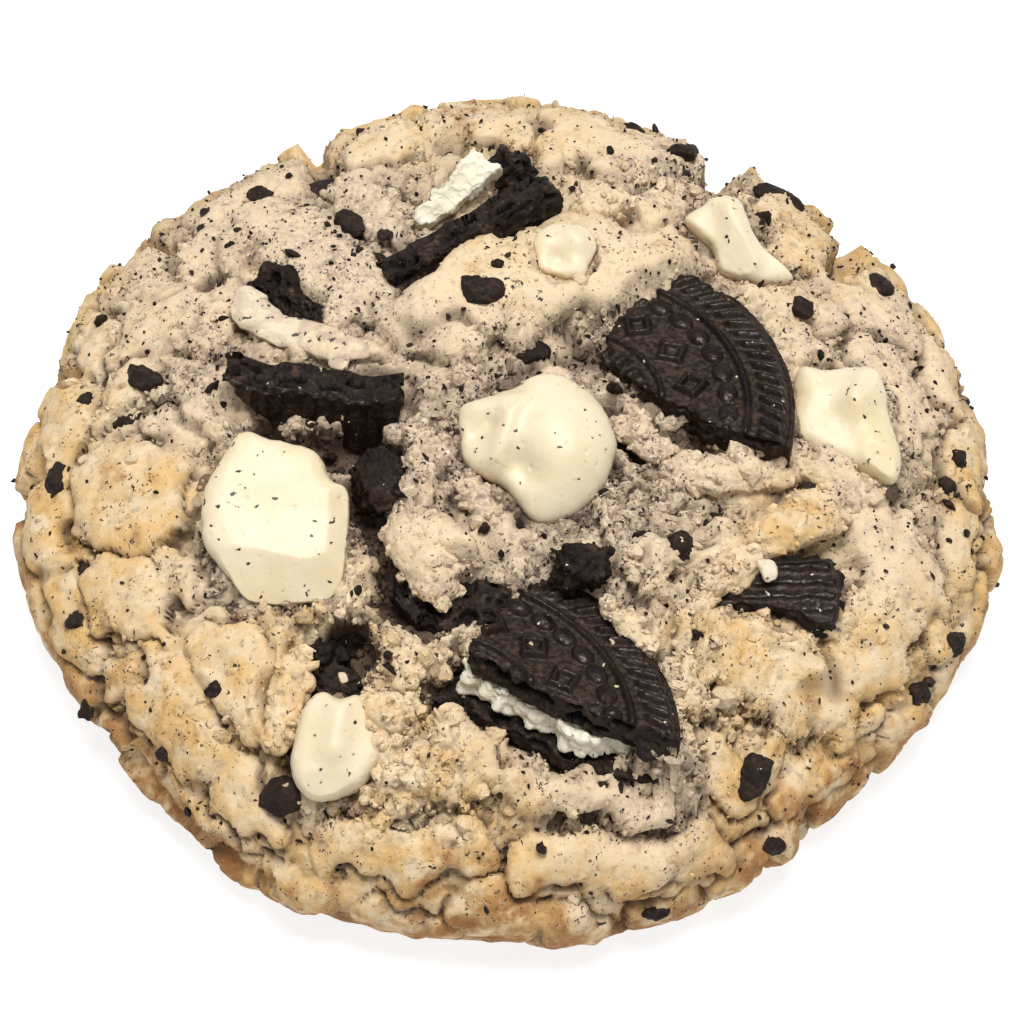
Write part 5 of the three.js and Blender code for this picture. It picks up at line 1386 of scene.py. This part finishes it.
def dough_finish(f):
    """Baked dough: pale to golden and toasted, greyed where biscuit dust is worked in, with
    a wispy grain of pale tips, partly pale grains and partly painted highlight, and of gaps
    darkened as painted shade; crevices, cracks and hollows darkened, partly with dark crumbs
    and partly as painted shade; and dark specks and dashes of biscuit."""
    mauve, dusty, crease, peppered, crumbly = (
        f.share(label) for label in ("mauve", "dusty", "crease", "peppered", "crumbly"))
    stirred, red, green, blue = f.stirred(0.0008, 0.0006)
    grain = f.noise(0.0009, 3, stirred, 0.65)
    spots = f.noise(0.00042, 1.5, stirred)
    patch = f.noise(0.0034, 2, stirred)
    # Painted shade: the gaps between the grain's high points are darkened.
    gaps = f.step(grain + 0.25 * (blue - 0.5), 0.45, 0.3) * (0.25 + 0.4 * crumbly)
    pepper = f.step(spots + 0.06 * peppered, 0.715, 0.74)
    hairs = (f.step(f.math("ABSOLUTE", green - 0.5, 0), 0.022, 0.01)
             * f.step(blue + 0.12 * peppered, 0.69, 0.73))
    flecks = f.step(grain * 0.75 + red * 0.25 + 0.04 * peppered, 0.66, 0.67)
    dark = f.math("MAXIMUM", pepper * 0.85, f.math("MAXIMUM", hairs * 0.85, flecks * 0.95))
    base = f.coats(
        "dough_pale",
        (f.share("golden") * f.step(patch + 0.3 * (blue - 0.5), 0.25, 0.6), "dough_golden"),
        (mauve * f.step(spots, 0.3, 0.6), "dough_mauve"),
        (0.85 * dusty * f.step(0.6 * patch + 0.4 * spots, 0.47, 0.57), "dough_sooty"),
        (f.share("toasted") * f.step(patch + 0.4 * (red - 0.5), 0.3, 0.62), "dough_toasted"),
        # Partly pale grains and partly painted highlight: the grain's high points, which the bump raises,
        # are lightened.
        (f.step(grain, 0.5, 0.7) * (0.18 + 0.5 * crumbly),
         f.coats("dough_light_and_highlight", (mauve, "grey_dough_light_and_highlight"))),
        # Painted shade in the grain's gaps and in crevices, cracks and hollows, partly dark crumbs.
        (f.math("MAXIMUM", gaps, crease * 0.92), "crevice_shade"),
        (dark, "speck"))
    height = (grain - 0.5) * (0.3 + 0.6 * crumbly)
    return f.shine(Base_Color=base, Roughness=0.8, Specular_IOR_Level=0.3,
                   Normal=f.bump(height, 0.00045))


def chip_finish(f):
    """White chocolate: ivory with a satin gloss, yellower in patches, a few dark specks."""
    stirred, red, _, _ = f.stirred(0.0006, 0.0004)
    spots = f.noise(0.00085, 1.5, stirred)
    base = f.coats("chip", (f.step(f.noise(0.006, 2), 0.35, 0.75), "chip_warm"),
                   (f.step(spots, 0.64, 0.74) * 0.35, "dough_toasted"),
                   (f.step(spots, 0.71, 0.722), "speck"))
    height = 0.8 * f.noise(0.0025, 1) + 0.2 * red
    return f.shine(Base_Color=base, Roughness=0.42, Specular_IOR_Level=0.35,
                   Subsurface_Weight=0.3, Subsurface_Radius=(0.004, 0.0028, 0.0014),
                   Subsurface_Scale=0.35, Normal=f.bump(height, 0.00018, 0.6))


def wafer_finish(f):
    """Dark biscuit: near black with a brown sheen, porous, and dusted with crumb; raised grit
    on broken faces is painted lighter as a painted highlight, and pores are painted near black
    as painted shade.
    """
    stirred, red, green, blue = f.stirred(0.0005, 0.0004)
    gloss = f.share("gloss")
    brown = f.step(f.noise(0.002, 2) + 0.05 * (1 - gloss), 0.42, 0.72)
    crumbs = f.step(f.noise(0.0009, 1.5, stirred), 0.745, 0.76)
    # Painted highlight and painted shade: the dust share also lightens raised grit of broken faces, and
    # the pores are painted near black.
    base = f.coats("wafer", (brown, "wafer_brown"),
                   (f.share("dust") * f.step(green, 0.35, 0.7) * 0.55, "wafer_dust_and_sheen"),
                   (f.share("pore"), "wafer_pore"), (crumbs * 0.7, "dough_light_and_highlight"))
    height = 0.5 * f.noise(0.001, 2) + 0.5 * red
    return f.shine(Base_Color=base, Roughness=0.74 - 0.46 * gloss * f.step(blue, 0.75, 0.35),
                   Specular_IOR_Level=0.3, Specular_Tint=(1.0, 0.86, 0.76, 1.0),
                   Normal=f.bump(height * (1 - 0.4 * gloss), 0.00022))


def cream_finish(f):
    """Biscuit cream: off-white, matte and slightly see-through, with a few dark crumbs. Where
    it lies thin, the dough shows through."""
    stirred, red, _, _ = f.stirred(0.0006, 0.0005)
    spots = f.noise(0.0008, 1.5, stirred)
    thin = f.share("thin")
    base = f.coats("cream", (f.step(f.noise(0.003, 2), 0.4, 0.7), "cream_shade"),
                   (thin, "dough_pale"),
                   (thin * f.step(f.noise(0.0016, 3), 0.4, 0.6), "dough_mauve"),
                   (f.step(spots + 0.07 * thin, 0.715, 0.73) * 0.9, "speck"))
    height = 0.6 * f.noise(0.0012, 2) + 0.4 * red
    return f.shine(Base_Color=base, Roughness=0.55, Specular_IOR_Level=0.3,
                   Subsurface_Weight=0.3, Subsurface_Radius=(0.003, 0.0025, 0.0018),
                   Subsurface_Scale=0.4, Normal=f.bump(height, 0.0003, 0.7))


def floor_finish(f):
    """A plain pale table, lit from within, as a light table is."""
    return f.shine(Base_Color="floor", Roughness=0.9, Specular_IOR_Level=0.1,
                   Emission_Color=(1.0, 1.0, 1.0, 1.0), Emission_Strength=FLOOR_GLOW)


FINISH_MAKERS = {"dough": dough_finish, "chip": chip_finish, "wafer": wafer_finish,
                 "cream": cream_finish, "floor": floor_finish}


def finish_of(name):
    """The named finish, made the first time that it is asked for."""
    return bpy.data.materials.get(name + "_finish") or FINISH_MAKERS[name](Finish(name))


# ---------------------------------------------------------------- settings


def colour(name, red, green, blue, description):
    """A colour setting, its default given as the 0 to 255 values of a screen colour."""
    linear = [((c / 255 + 0.055) / 1.055) ** 2.4 for c in (red, green, blue)]
    return FloatVectorProperty(name=name, description=description, subtype="COLOR", size=3,
                               min=0, max=1, default=linear)


def length(name, default, description):
    """A length setting, its default given in millimetres."""
    return FloatProperty(name=name, description=description, default=default * MM,
                         unit="LENGTH", precision=5)


def number(name, default, description):
    """A setting that counts things."""
    return IntProperty(name=name, description=description, default=default, min=1)


class CookieSizes(bpy.types.PropertyGroup):
    """Sizes of the fine surface that a user may want to change."""

    ragged_edge: length("Ragged edge", 0.55, "How far noise pushes the edges of the dough's lobes")
    bulge: length("Bulge", 0.5, "How far the upper walls of the lobes lean out over the cracks")
    granule_height: length("Granule height", 0.85, "Height of the granules in crumbly dough")
    emboss_height: length("Emboss height", 0.8, "Height of the pattern in the dark biscuit")
    reed_pitch: length("Reed pitch", 1.57, "Distance between two reeds at the biscuit's rim")
    dough_crumbs: number("Dough crumbs", 1200, "How many loose lumps of dough lie on the crust")
    dough_grains: number("Dough grains", 5200, "How many grains of dough lie on the crust")
    dark_bits: number("Dark bits", 320, "How many small bits of dark biscuit show")
    dark_grit: number("Dark grit", 6500, "How many grains of dark biscuit show")


class CookieColours(bpy.types.PropertyGroup):
    """Colours of the cookie's finishes."""

    dough_pale: colour("Pale dough", 213, 191, 158, "Dough that has hardly browned")
    # These two are partly the colour of pale grains and partly a painted highlight on the grain's high
    # points.
    dough_light_and_highlight: colour("Light dough", 238, 219, 183, "The lightest grains of the dough")
    grey_dough_light_and_highlight: colour("Frosted dough", 236, 221, 200, "The lightest grains of the greyed dough")
    dough_golden: colour("Golden dough", 205, 168, 110, "Dough that has browned lightly")
    # Also the colour that the lower side and foot are darkened towards: partly real browning, partly
    # painted shade.
    dough_toasted: colour("Toasted dough", 156, 110, 64, "Dough at the toasted spots and the foot")
    dough_mauve: colour("Grey dough", 184, 162, 142, "Dough with biscuit dust worked in")
    dough_sooty: colour("Dusty dough", 96, 76, 66, "Dough dark with biscuit dust")
    # Painted shade: the colour that crevices, cracks, hollows and the grain's gaps are darkened to,
    # partly dark crumbs.
    crevice_shade: colour("Crevice", 62, 44, 34, "Dough down in a crevice")
    speck: colour("Specks", 30, 25, 26, "Specks of dark biscuit")
    chip: colour("Chip", 221, 207, 178, "White chocolate")
    chip_warm: colour("Warm chip", 214, 197, 160, "Yellower patches of the white chocolate")
    wafer: colour("Dark biscuit", 17, 12, 10, "The dark biscuit")
    wafer_brown: colour("Brown biscuit", 33, 23, 18, "Browner patches of the dark biscuit")
    # Also a painted highlight on the raised grit of broken faces.
    wafer_dust_and_sheen: colour("Biscuit dust", 98, 76, 64, "Dust on the biscuit")
    # Painted shade: the colour that pores and pits are painted.
    wafer_pore: colour("Biscuit pores", 9, 7, 6, "Holes in the broken biscuit")
    cream: colour("Cream", 222, 215, 194, "The filling of the dark biscuit")
    cream_shade: colour("Cream shade", 206, 198, 174, "Yellower patches of the filling")
    floor: colour("Floor", 150, 150, 150, "The table")


# ---------------------------------------------------------------- operators


class BakeDough(bpy.types.Operator):
    """Makes the dough with its lobes, crevices and granules, and what laps over it."""

    bl_idname = "cookie.bake_dough"
    bl_label = "Dough"

    def execute(self, context):
        make_dough(finish_of("dough"))
        make_laps(finish_of("dough"))
        return {"FINISHED"}


class SetChips(bpy.types.Operator):
    """Makes the six white chips."""

    bl_idname = "cookie.set_chips"
    bl_label = "White chips"

    def execute(self, context):
        for seed, (name, spec) in enumerate(CHIPS.items(), CHIP_SEED):
            make_chip(name, spec, seed, finish_of("chip"))
        return {"FINISHED"}


class BreakBiscuit(bpy.types.Operator):
    """Makes the broken slabs of dark biscuit, the two rough chunks and all their cream."""

    bl_idname = "cookie.break_biscuit"
    bl_label = "Broken biscuit"

    def execute(self, context):
        for seed, (name, spec) in enumerate(SLABS.items(), SLAB_SEED):
            make_slab(name, spec, seed, finish_of("cream" if spec["kind"] == "cream" else "wafer"))
        for seed, (name, spec) in enumerate(CHUNKS.items(), CHUNK_SEED):
            make_chunk(name, spec, seed, finish_of("wafer"))
        make_smears(finish_of("cream"))
        return {"FINISHED"}


class ScatterDark(bpy.types.Operator):
    """Strews dark crumbs, bits and grit over the dough."""

    bl_idname = "cookie.scatter_dark"
    bl_label = "Dark crumbs"

    def execute(self, context):
        make_dark_crumbs(finish_of("wafer"))
        final, _, shares, _, _ = dough_surface()
        weight = 0.2 + shares["mauve"] + shares["dusty"] + 0.8 * shares["crease"]
        weight = weight * (0.04 + 0.96 * smoothstep(final[..., 2], 4, 10))
        for name in ("dark_bits", "dark_grit"):
            scatter(name, weight, finish_of("wafer"))
        return {"FINISHED"}


class ScatterDough(bpy.types.Operator):
    """Strews loose lumps and grains of dough over the crumbly places."""

    bl_idname = "cookie.scatter_dough"
    bl_label = "Dough crumbs"

    def execute(self, context):
        final, _, shares, _, _ = dough_surface()
        weight = (shares["crumbly"] ** 2 + 0.01) * smoothstep(final[..., 2], 8, 15)
        for name in ("dough_crumbs", "dough_grains"):
            scatter(name, weight, finish_of("dough"))
        return {"FINISHED"}


# The stage, in metres and watts.
FLOOR_SIDE = 4
FLOOR_GLOW = 0.8  # how brightly the table shines by itself
SKY_GLOW = 0.34  # the even light from all round
LAMPS = {"key": (0.4, 7.2, (0.02, 0.07, 0.79)), "fill": (0.9, 1.5, (0.25, -0.75, 0.7))}
CAMERA_HEIGHT = 57  # degrees over the table, looking along +Y
CAMERA_DISTANCE = 0.503
CAMERA_TARGET = (0.0, 0.0, 0.01006)
CAMERA_LENS = 182.4  # mm
CAMERA_SHIFT = (0.0049, -0.0308)  # puts the cookie where the photograph has it


class SetStage(bpy.types.Operator):
    """Makes the floor, the soft studio light and the camera at the photograph's angle."""

    bl_idname = "cookie.set_stage"
    bl_label = "Stage"

    def execute(self, context):
        scene = context.scene
        bpy.ops.mesh.primitive_plane_add(size=FLOOR_SIDE)
        floor = context.object
        floor.name = "floor"
        floor.data.materials.append(finish_of("floor"))
        world = bpy.data.worlds.new("studio")
        world.use_nodes = True
        sky = world.node_tree.nodes["Background"].inputs
        sky["Color"].default_value = (1, 1, 1, 1)
        sky["Strength"].default_value = SKY_GLOW
        scene.world = world
        for name, (side, power, place) in LAMPS.items():
            lamp(name, side, power, place)
        camera = bpy.data.objects.new("camera", bpy.data.cameras.new("camera"))
        scene.collection.objects.link(camera)
        camera.data.lens = CAMERA_LENS
        camera.data.shift_x, camera.data.shift_y = CAMERA_SHIFT
        tilt = CAMERA_HEIGHT * DEG
        camera.location = (CAMERA_TARGET[0], CAMERA_TARGET[1] - CAMERA_DISTANCE * np.cos(tilt),
                           CAMERA_TARGET[2] + CAMERA_DISTANCE * np.sin(tilt))
        camera.rotation_euler = (np.pi / 2 - tilt, 0, 0)
        scene.camera = camera
        scene.view_settings.view_transform = "Standard"
        return {"FINISHED"}


def lamp(name, side, power, place):
    """A square soft light aimed at the cookie."""
    light = bpy.data.lights.new(name, "AREA")
    light.size = side
    light.energy = power
    holder = bpy.data.objects.new(name, light)
    bpy.context.scene.collection.objects.link(holder)
    holder.location = place
    x, y, z = place
    holder.rotation_euler = (np.arctan2(np.hypot(x, y), z), 0, np.arctan2(x, -y))


OPERATORS = [BakeDough, SetChips, BreakBiscuit, ScatterDark, ScatterDough, SetStage]


class CookiePanel(bpy.types.Panel):
    """Lists the cookie's pieces and settings."""

    bl_idname = "COOKIE_PT_pieces"
    bl_label = "Cookie"
    bl_space_type = "VIEW_3D"
    bl_region_type = "UI"
    bl_category = "Cookie"

    def draw(self, context):
        for operator in OPERATORS:
            self.layout.operator(operator.bl_idname)
        for group in (context.scene.cookie_sizes, context.scene.cookie_colours):
            for name in group.__annotations__:
                self.layout.prop(group, name)


CLASSES = [CookieSizes, CookieColours, *OPERATORS, CookiePanel]


def register():
    for cls in CLASSES:
        bpy.utils.register_class(cls)
    bpy.types.Scene.cookie_sizes = PointerProperty(type=CookieSizes)
    bpy.types.Scene.cookie_colours = PointerProperty(type=CookieColours)


def unregister():
    del bpy.types.Scene.cookie_sizes
    del bpy.types.Scene.cookie_colours
    for cls in reversed(CLASSES):
        bpy.utils.unregister_class(cls)


def main():
    register()
    bpy.ops.cookie.bake_dough()
    bpy.ops.cookie.set_chips()
    bpy.ops.cookie.break_biscuit()
    bpy.ops.cookie.scatter_dark()
    bpy.ops.cookie.scatter_dough()
    bpy.ops.cookie.set_stage()


if __name__ == "__main__":
    main()
